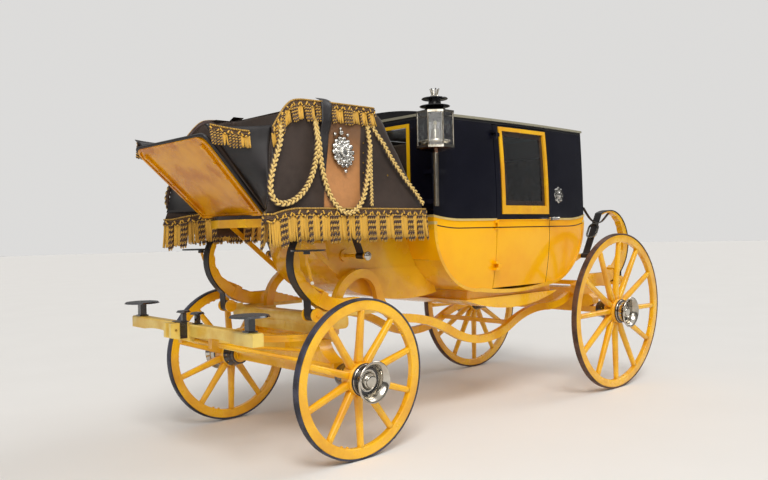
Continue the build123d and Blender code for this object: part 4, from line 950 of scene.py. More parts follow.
@dataclass
class Fringe:
    """Fringe on a braid heading: plain gold strands in blocks, twisted two-tone hangers between them."""

    drop: float
    heading: float
    seed: int = 7
    scallop: float = 0.055
    cord_step: float = 0.26

    def kinds(self, count: int, rng: np.random.Generator) -> Grid:
        """What hangs at each place: 0 a strand, 1 a hanger, 2 nothing; 4 to 8 strands, then 1 to 4 hangers."""
        row: list[int] = []
        while len(row) < count:
            row += [0] * int(rng.integers(4, 9)) + [1, 2] * int(rng.integers(1, 5))
        return np.array(row[:count])

    def build(self, path: Grid, closed: bool = False) -> Surface:
        """Hangs the fringe on a path.

        Args:
            path: points and outward directions, shaped (N, 6).
            closed: whether the path's ends meet.
        Returns:
            The fringe, its tone running from brown at 0 to gold at 1.
        """
        rng = np.random.default_rng(self.seed)
        p, out = path[:, :3], path[:, 3:]
        n = len(path)
        kinds = self.kinds(n, rng)
        sway = rng.normal(0, 0.003, (n, 3)) * np.array([1, 1, 0.6])
        length = self.drop * (0.93 + rng.random(n) * 0.07)
        plain, twist = kinds == 0, kinds == 1
        shades = 0.72 + 0.28 * rng.random(int(plain.sum()))
        start = p - UP * self.heading * 0.75 + out * 0.004
        swing = out * 0.014 + sway
        surface = Surface()
        self.strands(surface, start[plain], swing[plain], length[plain], shades)
        self.hangers(surface, start[twist] + out[twist] * 0.009, swing[twist])
        self.braid(surface, p, out, closed)
        return surface

    def strands(self, surface: Surface, start: Grid, swing: Grid, length: Grid, shades: Grid) -> None:
        """Adds plain strands: start - l t Z + swing t^1.4, a little thicker in the middle."""
        t = np.linspace(0, 1, 6)
        line = start[:, None] - UP * (t * length[:, None])[..., None] + swing[:, None] * (t ** 1.4)[:, None]
        radius = np.interp(t, [0, 0.3, 1], [0.0052, 0.0060, 0.0046])
        # Tone along each strand: brightest in the middle, darker at the foot and a little at the top, a painted
        # highlight and shade.
        painted_strand_light = np.interp(np.linspace(0, 1, 8), [0, 0.5, 1], [0.92, 1.0, 0.82])
        tone = shades[:, None, None] * painted_strand_light[:, None]
        surface.grid(tube(line, radius[None], 6, (1.0, 0.3, 0.0)), close_v=True, tone=tone)

    def hangers(self, surface: Surface, start: Grid, swing: Grid) -> None:
        """Adds hangers: beaded tubes a tenth longer than the drop, a light thread winding five times round each."""
        t, sides = np.linspace(0, 1, 24), 8
        line = start[:, None] - UP * (t * self.drop * 1.1)[:, None] + swing[:, None] * (t ** 1.4)[:, None]
        beads = 0.0078 + 0.0016 * np.sin(t * np.pi * 12)
        beads[-3:] *= (0.95, 0.85, 0.6)
        winding = np.concatenate([[0.0], t, [1.0]])[:, None] * 2 * np.pi * 5 + np.arange(sides) * 2 * np.pi / sides
        stripes = np.where(np.sin(winding) > 0.62, 0.9, 0.0)
        surface.grid(tube(line, beads[None], sides, (1.0, 0.3, 0.0)), close_v=True, tone=stripes[None])

    def braid(self, surface: Surface, p: Grid, out: Grid, closed: bool) -> None:
        """Heading: a dark band, two cords in scallops, z = -d (a + b |sin (pi s / 0.055)|), and a cord on top.

        Args:
            surface: what it is added to.
            p: points of the path.
            out: level directions outwards at them.
            closed: whether the path's ends meet.
        """
        rows = np.array([0.12, 0.0, -0.5, -0.95, -1.0]) * self.heading
        stand = np.array([0.0, 0.006, 0.009, 0.008, 0.0])
        if closed:
            p, out = np.concatenate([p, p[:1]]), np.concatenate([out, out[:1]])
        band = p[:, None] + out[:, None] * stand[None, :, None] + UP * rows[None, :, None]
        tones = np.array([0.0, 0.12, 0.0, 0.08, 0.0])
        surface.grid(band if closed else capped(band), close_v=True, tone=tones)
        n = len(p)
        s = np.arange(0, n - 1, self.cord_step)
        at, o = (np.stack([np.interp(s, np.arange(n), row[:, k]) for k in range(3)], 1) for row in (p, out))
        wave = np.abs(np.sin(np.pi * s * STRAND_STEP / self.scallop))
        mark = np.arange(len(s) + 2)
        dots = np.where(np.sin(mark * 0.715) > -0.35, 0.95, 0.0)
        dash = np.where(np.sin(mark * 1.69) > 0, 0.9, 0.1)
        for off, drop, radius, sides, tone in ((0.0125, 0.2 + 0.75 * wave, 0.0050, 6, dots[:, None]),
                                               (0.0115, 0.15 + 0.42 * wave, 0.0030, 5, 0.1),
                                               (0.008, -0.05 + 0 * wave, 0.0055, 6, dash[:, None])):
            line = at + o * off
            line[:, 2] -= self.heading * drop
            surface.grid(tube(line, radius, sides, (0.1, 0.2, 1.0)), close_v=True, tone=tone)


def with_outward(line: Grid) -> Grid:
    """Line points with their level outward directions, Z x tangent, for a line whose outer side is on its left."""
    tangent = np.gradient(line, axis=0)
    out = np.stack([-tangent[:, 1], tangent[:, 0], np.zeros(len(line))], 1)
    return np.concatenate([line, out / np.linalg.norm(out, axis=1, keepdims=True)], 1)


@dataclass
class Hammercloth:
    """Driver's seat: taut cloth over the seat, fringes round its top and hem, ropes, strap and a plain silver boss."""

    low: float = 1.47
    high: float = 2.15
    well_x: float = 2.89
    well_half: float = 0.455
    side_foot: float = 1.3
    side_half: float = 0.64
    side_lean: float = 0.153
    heights: tuple[float, ...] = (1.25, 1.40, 1.483, 1.563, 1.70, 1.86, 1.965, 2.03, 2.09, 2.128, 2.15)
    fronts: tuple[float, ...] = (3.40, 3.385, 3.36, 3.338, 3.318, 3.290, 3.256, 3.208, 3.155, 3.105, 3.05)
    backs: tuple[float, ...] = (2.02, 2.05, 2.07, 2.10, 2.168, 2.234, 2.29, 2.325, 2.358, 2.395, 2.44)

    def limits(self, z: Grid) -> tuple[Grid, Grid, Grid]:
        """Back, front and half width at heights z: read off the side outline, and 0.64 - 0.153 (z - 1.3)."""
        half = self.side_half - self.side_lean * (np.clip(z, self.side_foot, self.high) - self.side_foot)
        return np.interp(z, self.heights, self.backs), np.interp(z, self.heights, self.fronts), half

    def ring(self, z: Grid) -> Grid:
        """Closed plan of the cloth at each height: eight corners eased by quadratic blends.

        Args:
            z: heights.
        Returns:
            Points shaped (len(z), K, 3), anticlockwise seen from above.
        """
        x0, x1, half = self.limits(z)
        w, e = np.minimum(self.well_half, half - 0.03), np.full_like(z, self.well_x)
        right = [(x0, -half), (x1, -half), (x1 - 0.12, -w), (e, -w)]
        corners = np.stack([np.stack(xy, -1) for xy in right + [(x, -y) for x, y in reversed(right)]], 1)
        size = np.array([0.06, 0.022, 0.012, 0.03, 0.03, 0.012, 0.022, 0.06])[None, :, None]
        a, b = (corners + way / np.linalg.norm(way, axis=2, keepdims=True) * size
                for way in (np.roll(corners, 1, 1) - corners, np.roll(corners, -1, 1) - corners))
        s = np.linspace(0, 1, 6)[None, None, :, None]
        bend = (1 - s) ** 2 * a[:, :, None] + 2 * s * (1 - s) * corners[:, :, None] + s ** 2 * b[:, :, None]
        t = np.linspace(0, 1, 26)[1:-1][None, None, :, None]
        run = b[:, :, None] * (1 - t) + np.roll(a, -1, 1)[:, :, None] * t
        plan = np.concatenate([bend, run], 2).reshape(len(z), -1, 2)
        return np.concatenate([plan, np.broadcast_to(z[:, None, None], plan.shape[:2] + (1,))], -1)

    def outward(self, ring: Grid) -> Grid:
        """Level directions out of the ring."""
        along = np.roll(ring, -1, -2) - np.roll(ring, 1, -2)
        out = np.stack([along[..., 1], -along[..., 0], np.zeros_like(along[..., 0])], -1)
        return out / (np.linalg.norm(out, axis=-1, keepdims=True) + 1e-9)

    def cloth(self) -> Surface:
        """Outer cloth from hem to top: drawn in 10 mm sin (pi v), ripples sin (52 s) at the hem, s its length round."""
        z = np.concatenate([np.linspace(self.low, 1.94, 26), np.linspace(1.96, self.high - 0.01, 18),
                            [self.high - 0.004, self.high]])
        ring = self.ring(z)
        v = np.clip((z - self.low) / (self.high - self.low), 0, 1)[:, None, None]
        s = np.cumsum(np.linalg.norm(ring - np.roll(ring, 1, 1), axis=2), axis=1)[:, :, None]
        pull = -0.010 * np.sin(np.pi * v) + 0.0022 * np.sin(s * 52) * (1 - v) ** 2 + 0.0025 * np.sin(s * 9 + v * 5)
        edge = np.array([0.0] * 44 + [0.004, 0.012])[:, None, None]
        points = ring + self.outward(ring) * (pull - edge)
        points[..., 0] -= MID_X
        return Surface().grid(points, close_v=True, flip=True)

    def top(self) -> Surface:
        """Flat top under the seat pad: the seat itself, and the two cheeks ahead of it."""
        x0, x1, half = (float(v[0]) for v in self.limits(np.array([self.high])))
        inset, w = 0.012, self.well_half
        wide, cheek, ahead = half - inset, self.well_x - 0.01, x1 - inset
        surface = Surface()
        spans = ((x0 + inset, self.well_x, -wide, wide), (cheek, ahead, w, wide), (cheek, ahead, -wide, -w))
        for xa, xb, ya, yb in spans:
            u, v = np.meshgrid(np.linspace(xa, xb, 12), np.linspace(ya, yb, 12), indexing="ij")
            surface.grid(np.stack([u - MID_X, v, np.full_like(u, self.high + 0.001)], -1))
        return surface

    def side_point(self, x: float, z: float, out: float = 0.0) -> Vec:
        """Point on the left side face at x and height z, stood off by a distance."""
        half = float(self.limits(np.array([z]))[2][0])
        return (x - MID_X, half + out, z)

    def head_path(self) -> Grid:
        """Where the top fringe hangs on the left: from the middle of the back, along the side, down the front slope."""
        x0 = float(self.limits(np.array([self.high]))[0][0])
        top = self.high + 0.004
        points = [(x0, 0.004, top), (x0, 0.3, top), (x0 - 0.004, 0.46, top), (x0, 0.512, top), (x0 + 0.07, 0.516, top),
                  (2.75, 0.516, top), (3.0, 0.516, top), (3.06, 0.518, top - 0.004), (3.11, 0.52, 2.138),
                  (3.16, 0.523, 2.098), (3.213, 0.532, 2.034), (3.262, 0.543, 1.966)]
        return with_outward(route([(x - MID_X, y, z) for x, y, z in points], STRAND_STEP))

    def hem_path(self) -> Grid:
        """Where the hem fringe hangs: round the whole cloth, 35 mm lower at the front corners."""
        ring = self.ring(np.array([1.50]))[0]
        line = even(np.concatenate([ring, ring[:1]]), STRAND_STEP)[:-1]
        out = -with_outward(line)[:, 3:]
        line[:, 2] -= 0.035 * np.clip((line[:, 0] - 3.12) / 0.2, 0, 1) ** 2
        line += out * 0.010
        line[:, 0] -= MID_X
        return np.concatenate([line, out], 1)

    def plait(self, surface: Surface, points: list[Span], thick: float, name: str) -> None:
        """Three strands plaited along a route: across = 0.7 r sin w, lift = r (0.32 + 0.42 sin 2w), w a third apart.

        Args:
            surface: what the rope is added to; a strand's tone darkens where it dives under, as painted shade.
            points: x and z of the route's control points on the side face.
            thick: the rope's radius.
            name: the rope's name for the log.
        """
        line = route([self.side_point(x, z, thick + 0.003) for x, z in points], 0.006)
        length = run_length(line)
        tied = points[-1][1] > 1.9
        near = np.minimum(length, length[-1] - length) if tied else length
        line[:, 1] -= 0.034 * np.clip(1 - near / 0.15, 0, 1) ** 0.8
        over = (0.0, 1.0, 0.05)
        across, lift = frames(line, np.array(over))
        for k in range(3):
            w = 2 * np.pi * length / (thick * 5.4) + k * 2 * np.pi / 3
            off = across * (np.sin(w) * 0.70)[:, None] + lift * (0.32 + np.sin(2 * w) * 0.42)[:, None]
            # Painted shade: the strand darkens as it turns under the others.
            tone = np.clip(0.62 + 1.1 * np.sin(2 * w + 0.3), 0.0, 1.0)
            tone = np.concatenate([tone[:1], tone, tone[-1:]])[:, None]
            surface.grid(tube(line + off * thick, thick * 0.345, 7, over), close_v=True, tone=tone)
        # Dark core at tone 0, seen in the gaps between strands: painted shade.
        surface.grid(tube(line - lift * thick * 0.1, thick * 0.62, 7, over), close_v=True, tone=0.0)
        LOG.info("rope %s: %.2f m", name, length[-1])

    def ropes(self) -> Surface:
        """Swags, upright and slanting ropes on both sides."""
        loop = [(2.934, 2.06), (2.95, 1.93), (2.985, 1.79), (3.04, 1.67), (3.125, 1.575), (3.225, 1.525), (3.31, 1.53),
                (3.338, 1.60), (3.312, 1.70), (3.258, 1.82), (3.212, 1.92), (3.178, 2.03)]
        swag = [(2.93, 2.05), (2.95, 1.90), (2.95, 1.72), (2.915, 1.57), (2.83, 1.475), (2.74, 1.475), (2.655, 1.55),
                (2.60, 1.68), (2.56, 1.82), (2.53, 1.95), (2.51, 2.05)]
        upright = [(2.515, 2.05), (2.535, 1.88), (2.56, 1.70), (2.583, 1.52)]
        slant = [(2.48, 2.05), (2.41, 1.90), (2.335, 1.785), (2.245, 1.675), (2.17, 1.60), (2.125, 1.53)]
        surface = Surface()
        for points, thick, name in ((loop, 0.018, "loop"), (swag, 0.018, "swag"), (upright, 0.0135, "upright"),
                                    (slant, 0.0165, "slant")):
            self.plait(surface, points, thick, name)
        return doubled(surface)

    def strap(self) -> Surface:
        """Dark strap over the side: it lies outside the top fringe, then near the cloth, its width easing in."""
        t = np.linspace(0, 1, 30)
        z = 2.185 - t * 0.53
        x = 2.845 + 0.08 * t
        half = np.interp(t, [0, 0.33, 0.6, 0.9, 1.0], [0.042, 0.036, 0.027, 0.013, 0.003])
        stand = np.interp(t, [0, 0.03, 0.08, 0.3, 0.42, 1.0], [-0.03, 0.012, 0.034, 0.036, 0.012, 0.006])
        wide = np.linspace(-1, 1, 9)
        y = self.limits(z)[2][:, None] + stand[:, None] - 0.007 * wide[None] ** 2
        points = np.stack([x[:, None] + half[:, None] * wide - MID_X, y, np.broadcast_to(z[:, None], y.shape)], -1)
        back = points - np.array([0, 0.005, 0])
        loop_round = np.concatenate([points, back[:, ::-1]], 1)
        return doubled(Surface().grid(capped(loop_round), close_v=True))

    def boss(self) -> Surface:
        """Plain silver boss: an oval dome ringed by round beads, with small knops above and below."""
        surface = Surface()
        cx, y0, cz = self.side_point(2.757, 1.85, 0.004)

        def seat(points: Grid) -> Grid:
            """Points moved to the boss's middle and leaned with the side face."""
            return points + points[..., 2:] * (0.0, -self.side_lean, 0.0) + (cx, y0, cz)
        u, v = np.meshgrid(np.linspace(0, np.pi / 2, 9), np.linspace(0, 2 * np.pi, 33), indexing="ij")
        flat = np.cos(u) * (1 + 0.09 * np.cos(9 * v) * np.cos(u))
        dome = np.stack([0.074 * flat * np.cos(v), 0.034 * np.sin(u), 0.082 * flat * np.sin(v)], -1)
        surface.grid(capped(seat(dome)))
        a = circle(14)
        for rx, rz, size, lift in ((0.072, 0.084, 0.0175, 0.010), (0.052, 0.060, 0.0125, 0.024),
                                   (0.026, 0.030, 0.011, 0.034)):
            middles = np.stack([rx * np.cos(a), np.full_like(a, lift), rz * np.sin(a)], -1)
            surface.grid(seat(balls(middles, size, 7, 9, (1.0, 0.8, 1.0))))
        knops = [(0, 0.01, 0.122), (0, 0.01, 0.146), (0.05, 0.01, 0.11), (-0.05, 0.01, 0.11), (0, 0.01, -0.118)]
        surface.grid(seat(balls(knops, (0.018, 0.011, 0.012, 0.012, 0.014), 7, 9)))
        return doubled(surface)

    def studs(self) -> Surface:
        """Small brass studs in a row along the cloth's rear seam and the panel's edges."""
        rows = [self.side_point(2.628 - (z - 1.56) * 0.16, z, 0.002) for z in np.linspace(1.6, 1.92, 6)]
        rows += [self.side_point(2.41 - (z - 1.56) * 0.1, z, 0.002) for z in (1.72, 1.86)]
        return doubled(Surface().grid(bolt_heads(np.array(rows), (0, 1, 0.15), 0.006, 0.004, 8), close_v=True))

    def make(self, bench: Bench) -> None:
        """Builds the whole seat."""
        wool = ("brown_cloth", "brown_cloth")
        thread = ("gold_thread", "brown_cloth")
        cloth = bench.piece(self.cloth(), "hammercloth_sheet", *wool, ("hammercloth",), weld=False)
        for sheet in (cloth, bench.piece(self.top(), "seat_top_cloth", *wool, weld=False)):
            thicken(sheet, "cloth_thickness", 0.003, -1.0)
        hem = bench.piece(Fringe(0.155, 0.048).build(self.hem_path(), True), "hem_fringe", *thread)
        head = bench.piece(doubled(Fringe(0.088, 0.042, 11).build(self.head_path())), "seat_fringe", *thread)
        ropes = bench.piece(self.ropes(), "swag_ropes", "rope_thread", "brown_cloth")
        bench.piece(self.strap(), "side_straps", "black_leather", "black_leather")
        bench.piece(self.boss(), "silver_bosses", "old_silver", "nickel")
        bench.piece(self.studs(), "cloth_studs", "old_brass", "nickel")
        min(mesh_area(cloth), 4.6)
        soft_pad(bench, "driver_seat_pad", ((2.46 - MID_X, -0.44, 2.135), (2.865 - MID_X, 0.44, 2.15)), "brown_leather",
                 cap=0.012)


def soft_pad(bench: Bench, name: str, box: tuple[Vec, Vec], finish: str, replaced: tuple[str, ...] = (),
             cap: float = 0.024) -> None:
    """Puffed pad between limits: a rounded block, remeshed, swollen as cloth under pressure, capped and smoothed.

    Args:
        bench: where it is finished.
        name: the piece's name.
        box: its low and high corner before it swells.
        finish: the pad's finish.
        replaced: CAD nodes that it stands for.
        cap: how far a point may move.
    """
    u, v = np.meshgrid(np.linspace(-1, 1, 9), np.linspace(-1, 1, 9), indexing="ij")
    one = np.ones_like(u)
    low, high = np.array(box)
    surface = Surface()
    for side in ((u, v, one), (v, u, -one), (one, u, v), (-one, v, u), (v, one, u), (u, -one, v)):
        surface.grid(np.stack(side, -1) * (high - low) / 2 + (low + high) / 2)
    pad = surface.make(name)
    remesh = pad.modifiers.new("even_mesh", "REMESH")
    remesh.mode, remesh.voxel_size = "VOXEL", PAD_MESH
    bake(pad)
    simulate(pad, cap)
    smooth = pad.modifiers.new("softened", "SUBSURF")
    smooth.levels = smooth.render_levels = 1
    bake(pad)
    pad.data.shade_smooth()
    bench.keep(pad, finish, "brown_cloth", replaced)


def shown_mesh(obj: Piece) -> bpy.types.Mesh:
    """New mesh of an object as its modifiers leave it."""
    return bpy.data.meshes.new_from_object(obj.evaluated_get(bpy.context.evaluated_depsgraph_get()))


def bake(obj: Piece) -> None:
    """Applies an object's modifiers to its mesh."""
    mesh, old = shown_mesh(obj), obj.data
    obj.modifiers.clear()
    obj.data = mesh
    mesh.name = obj.name
    bpy.data.meshes.remove(old)


def simulate(obj: Piece, cap: float) -> None:
    """Swells a closed mesh as cloth under pressure, then holds each point near its start.

    Args:
        obj: the mesh object.
        cap: how far a point may be from its start.
    """
    rest = mesh_points(obj.data)
    cloth = obj.modifiers.new("swell", "CLOTH")
    cloth.settings.use_pressure = True
    cloth.settings.uniform_pressure_force = 4.0
    cloth.settings.effector_weights.gravity = 0.0
    scene = bpy.context.scene
    for frame in range(1, SWELL_FRAMES + 1):
        scene.frame_set(frame)
    mesh = shown_mesh(obj)
    shift = mesh_points(mesh) - rest
    far = np.linalg.norm(shift, axis=1, keepdims=True)
    shift *= np.minimum(1.0, cap / np.maximum(far, 1e-9))
    obj.modifiers.clear()
    obj.data.vertices.foreach_set("co", (rest + shift).ravel())
    bpy.data.meshes.remove(mesh)
    scene.frame_set(1)


@dataclass
class BoxFront:
    """What is ahead of the seat: leather side sheets, their fringe, the board's binding and bolts, and the valance."""

    foot_front: float = 3.205
    slope: Span = (0.435, 0.430)

    def sheet(self) -> Grid:
        """Left sheet: ruled from the board's sloping edge to the cloth's front edge, bulging 10 mm outwards."""
        s = np.linspace(0, 1, 25)[:, None]
        t = np.linspace(0, 1, 17)[None]
        board = (self.foot_front - 0.012 + 0.44 * s, 0.366 + 0.070 * s, 1.502 + 0.470 * s)
        z = 1.515 + 0.470 * s
        cloth_x, cloth_half = Hammercloth().limits(z)[1:]
        rear = (cloth_x - 0.004, cloth_half - 0.006, z)
        x, y, z = (a * (1 - t) + b * t for a, b in zip(board, rear))
        swell = np.sin(np.pi * s) ** 0.7 * np.sin(np.pi * t) ** 0.7
        dip = 0.012 * np.sin(np.pi * t) * s ** 3
        return np.stack([x + 0.004 * swell - MID_X, y + 0.010 * swell, z - dip], -1)

    def board_point(self, s: float, y: float, out: float) -> Vec:
        """Point on the sloping board, s metres up its slope and stood off its under face."""
        run, rise = (way / math.hypot(*self.slope) for way in self.slope)
        return (self.foot_front - MID_X + run * s + rise * out, y, 1.474 + rise * s - run * out)

    def binding(self) -> Surface:
        """Leather roll round the board's sides and top: a tube along its edge."""
        left = [(0.0, 0.358), (0.54, 0.427), (0.585, 0.430), (0.612, 0.406), (0.612, 0.366)]
        edge = left + [(0.612, 0.0)] + [(s, -y) for s, y in reversed(left)]
        line = route([self.board_point(s, y, -0.012) for s, y in edge], 0.012)
        return Surface().grid(tube(line, 0.0125, 8, (0.7, 0.0, -0.7)), close_v=True)

    def bolts(self) -> Surface:
        """Bolt heads along the board's two ribs."""
        places = [self.board_point(s, side * (0.294 + 0.06 * (s - 0.04) / 0.522), 0.013) for side in (-1, 1)
                  for s in (0.07, 0.19, 0.31, 0.43, 0.545)]
        return Surface().grid(bolt_heads(np.array(places), (0.7, 0, -0.7), 0.0085, 0.006, 8), close_v=True)

    def valance(self) -> Surface:
        """Leather strip under the foot board, its edge pinked in half rounds: z = z0 - 0.011 |sin (pi s / 0.036)|."""
        surface = Surface()
        rows = np.linspace(0, 1, 4)[:, None]
        half, rear, front = 0.332, 2.78, 3.12

        def drop(along: Grid) -> Grid:
            """Heights from the strip's top to its pinked edge."""
            return 1.402 * (1 - rows) + (1.352 - 0.011 * np.abs(np.sin(np.pi * along / 0.036)))[None] * rows
        z = drop(np.linspace(rear, front, 300))
        x = np.broadcast_to(np.linspace(rear, front, 300) - MID_X, z.shape)
        for y in (half, -half):
            surface.grid(np.stack([x, np.full_like(z, y), z], -1), flip=y > 0)
        z = drop(np.linspace(-half, half, 500))
        y = np.broadcast_to(np.linspace(-half, half, 500), z.shape)
        return surface.grid(np.stack([np.full_like(z, rear + 0.02 - MID_X), y, z], -1))

    def fringe(self, left: Grid) -> Surface:
        """Fringe along the upper edge of both sheets, sewn on 6 mm outside and falling a little towards the rear."""
        path = with_outward(even(left[-1, 1:11][::-1], STRAND_STEP))
        path[:, :3] += path[:, 3:] * 0.006
        path[:, 2] -= np.linspace(0.03, 0.004, len(path))
        return doubled(Fringe(0.072, 0.034, 5).build(path))

    def make(self, bench: Bench) -> None:
        """Builds the pieces."""
        left = self.sheet()
        both = Surface().grid(left).grid(mirror_y(left), flip=True)
        leather = ("black_leather", "black_leather")
        sheets = bench.piece(both, "leather_side_sheets", *leather, ("side_sheets",), weld=False)
        thicken(sheets, "leather_thickness", 0.005, 0.0)
        fringe = bench.piece(self.fringe(left), "side_sheet_fringe", "gold_thread", "brown_cloth")
        min(0.6, mesh_area(sheets))
        valance = bench.piece(self.valance(), "pinked_valance", "brown_leather", "black_leather", weld=False)
        thicken(valance, "leather_thickness", 0.004, 0.0)
        bench.piece(self.binding(), "board_binding", *leather)
        bench.piece(self.bolts(), "board_bolts", "golden_paint", "yellow_paint")


# ---------------------------------------------------------------- cabin


@dataclass
class Cabin:
    """Cabin dressing: buttoned seat backs, cushions and the plain silver rosettes."""

    half: float = 0.5
    back_low: float = 1.44
    back_high: float = 1.98
    button_step: float = 0.14
    rosette: Vec = (0.561 - MID_X, 0.622, 1.621)

    def back_pad(self, bench: Bench, name: str, x: float, face: int) -> None:
        """Buttoned seat back: its depth over y and z is drawn in at the buttons by a sum of Gaussian dips.

        Args:
            bench: where it is finished.
            name: the piece's name.
            x: where its flat side lies.
            face: 1 if it faces forwards, -1 if it faces back.
        """
        low, high, step = self.back_low, self.back_high, self.button_step
        y, z = np.meshgrid(np.linspace(-self.half, self.half, 61), np.linspace(low, high, 37), indexing="ij")
        deep = 0.035 + 0.02 * (1 - (y / 0.52) ** 8) * (1 - ((z - (low + high) / 2) / 0.29) ** 8)
        for row in range(4):
            for column in range(7):
                across = (column - 3 + row % 2 / 2) * step
                if abs(across) < 0.46:
                    deep -= 0.022 * np.exp(-((y - across) ** 2 + (z - 1.50 - row * step) ** 2) / 0.0011)
        edge = np.minimum(np.minimum(self.half - np.abs(y), z - low), high - z)
        deep = deep * np.clip(edge / 0.03, 0, 1) ** 0.5
        front = np.stack([x + face * deep, y, z], -1)
        back = np.stack([np.full_like(y, x), y, z], -1)
        pad = Surface().grid(front, flip=face < 0).grid(back, flip=face > 0).make(name)
        # Welding takes the buttons' side for the inside, so the faces are turned back.
        pad.data.flip_normals()
        bench.keep(pad, "seat_cloth", "brown_cloth")

    def rosettes(self) -> Surface:
        """Turned silver rosettes at the rear quarters: three lobed rings about a dome, r (1 + 0.1 cos 8a)."""
        a = np.linspace(0, 2 * np.pi, 65)[:, None]
        profile = np.array([(0.0, 0.02), (0.012, 0.018), (0.02, 0.01), (0.024, 0.006), (0.03, 0.012), (0.036, 0.006),
                            (0.042, 0.01), (0.048, 0.0), (0.048, -0.01), (0.0, -0.01)])
        radius, out = profile[:, 0][None], profile[:, 1][None]
        r = 1.3 * radius * (1 + 0.1 * np.cos(8 * a) * (radius > 0.026))
        p = np.stack([r * np.cos(a), out + 0 * a, r * np.sin(a)], -1) + self.rosette
        return doubled(Surface().grid(p, flip=True))

    def make(self, bench: Bench) -> None:
        """Dresses the cabin."""
        bench.piece(self.rosettes(), "silver_rosettes", "old_silver", "nickel")
        self.back_pad(bench, "rear_seat_back", CABIN_REAR + 0.034 - MID_X, 1)
        self.back_pad(bench, "front_seat_back", CABIN_FRONT - 0.034 - MID_X, -1)
        cushions = (("rear_cushion", 0.215, 0.62, ("cabin_cushions",)), ("front_cushion", 1.515, 1.92, ()))
        for name, x0, x1, replaced in cushions:
            box = ((x0 - MID_X, -self.half, 1.322), (x1 - MID_X, self.half, 1.40))
            soft_pad(bench, name, box, "seat_cloth", replaced)


# ---------------------------------------------------------------- small fittings


@dataclass
class Trim:
    """Small fittings that no joint needs: candles, reflectors, pin caps, check straps and beads on the door handles."""

    pin: Vec = (2.560 - MID_X, 0.549, 1.205)
    bead: Vec = (0.732 - MID_X, 0.668, 1.431)

    def turned(self, profile: list[Span]) -> Surface:
        """Forms turned about both lamps' upright axes from radius and height pairs."""
        p = np.asarray(profile, float)
        a = circle(32)[:, None]
        surface = Surface()
        for side in (1, -1):
            x, y = LAMP[0] + p[:, 0] * np.cos(a), side * LAMP[1] + p[:, 0] * np.sin(a)
            surface.grid(np.stack([x, y, p[:, 1] + 0 * a], -1), close_u=True)
        return surface

    def candles(self) -> Surface:
        """Candle in each lamp."""
        return self.turned([(0.0, 2.09), (0.008, 2.086), (0.011, 2.075), (0.0115, 2.035), (0.0115, 2.0), (0.0, 2.0)])

    def reflectors(self) -> Surface:
        """Bowl below the candle in each lamp."""
        return self.turned([(0.0, 1.915), (0.04, 1.917), (0.075, 1.926), (0.096, 1.945), (0.104, 1.955), (0.106, 1.955),
                            (0.098, 1.942), (0.076, 1.922), (0.04, 1.913), (0.0, 1.911)])

    def pin_caps(self) -> Surface:
        """Ringed silver caps on the front pins of the cabin, turned about Y."""
        profile = [(0.0, 0.0), (0.027, 0.0), (0.029, 0.003), (0.029, 0.008), (0.026, 0.011), (0.021, 0.009),
                   (0.018, 0.010), (0.013, 0.014), (0.006, 0.016), (0.0, 0.0165)]
        return doubled(Surface().grid(lathe(profile, 40) + np.array(self.pin), close_u=True))

    def check_straps(self) -> Surface:
        """Narrow straps that sag from the cabin's rear corners to the rear braces: a flattened tube along a line."""
        points = [(0.146, 0.585, 1.525), (0.09, 0.580, 1.475), (0.0, 0.570, 1.415), (-0.11, 0.556, 1.388),
                  (-0.22, 0.535, 1.400), (-0.32, 0.512, 1.440), (-0.40, 0.498, 1.480)]
        line = route([(x - MID_X, y, z) for x, y, z in points], 0.012)
        return doubled(Surface().grid(tube(line, 0.013, 10, (0.0, 0.0, 1.0), 0.28), close_v=True))

    def handle_beads(self, side: int) -> Surface:
        """Round beads along one door handle: balls of radius 9 to 14 mm, 19 mm apart."""
        size = np.array([0.012, 0.010, 0.014, 0.010, 0.0125, 0.009])
        middles = np.array(self.bead) - np.arange(6)[:, None] * (0.019, 0.0, 0.0)
        return Surface().grid(balls(middles, size, 9, 13, (1.0, 1.0, 1.1)) * (1.0, side, 1.0))

    def make(self, bench: Bench) -> None:
        """Builds the fittings."""
        bench.piece(self.candles(), "lamp_candles", "candle_wax", "nickel")
        bench.piece(self.reflectors(), "lamp_reflectors", "nickel_plate", "nickel")
        bench.piece(self.pin_caps(), "pin_caps", "nickel_plate", "nickel")
        bench.piece(self.check_straps(), "check_straps", "black_leather", "black_leather")
        for hand, side in (("left", 1), ("right", -1)):
            body = f"door_{hand}_body"
            bench.piece(self.handle_beads(side), f"handle_beads_{hand}", "old_silver", "nickel", (), body)


# ---------------------------------------------------------------- CAD nodes


FINISH_OF = {
    "foot_paint_gap_shade": ("foot_board",),
    "golden_paint": ("front_boot", "perches", "front_springs", "rear_springs", "rear_bed", "lower_bed", "wheel_irons",
                     "front_axle", "rear_axle", "body_loops", "brace_drums", "cabin_well", "cabin_bottom",
                     "upper_plate", "lower_plate"),
    "board_varnish": ("toe_board",),
    "sash_frame": ("door_frame_left", "door_frame_right"),
    "moulding_paint": ("cabin_mouldings",),
    "step_iron": ("box_steps",),
    # Bars in the paler yellow with painted sheen.
    "pale_paint_painted_sheen": ("splinter_bar", "futchells", "transom"),
    "coach_panels": ("cabin_rear_quarters", "cabin_front_quarters", "door_left", "door_right", "cabin_back_wall"),
    "front_panels": ("cabin_front_wall",),
    "roof_leather": ("cabin_roof",),
    "window_glass": ("cabin_lights", "door_glass_left", "door_glass_right"),
    "lamp_pane": ("lamp_glass",),
    "lamp_plate": ("lamp_cases",),
    "lamp_post_plate": ("lamp_posts",),
    "nickel_plate": ("door_handle_left", "door_handle_right", "brace_buckles"),
    "black_enamel": ("king_pin", "roller_bolts", "pole_hoop"),
    "black_leather": ("leather_braces",),
    "varnished_wood": ("cabin_benches",),
}


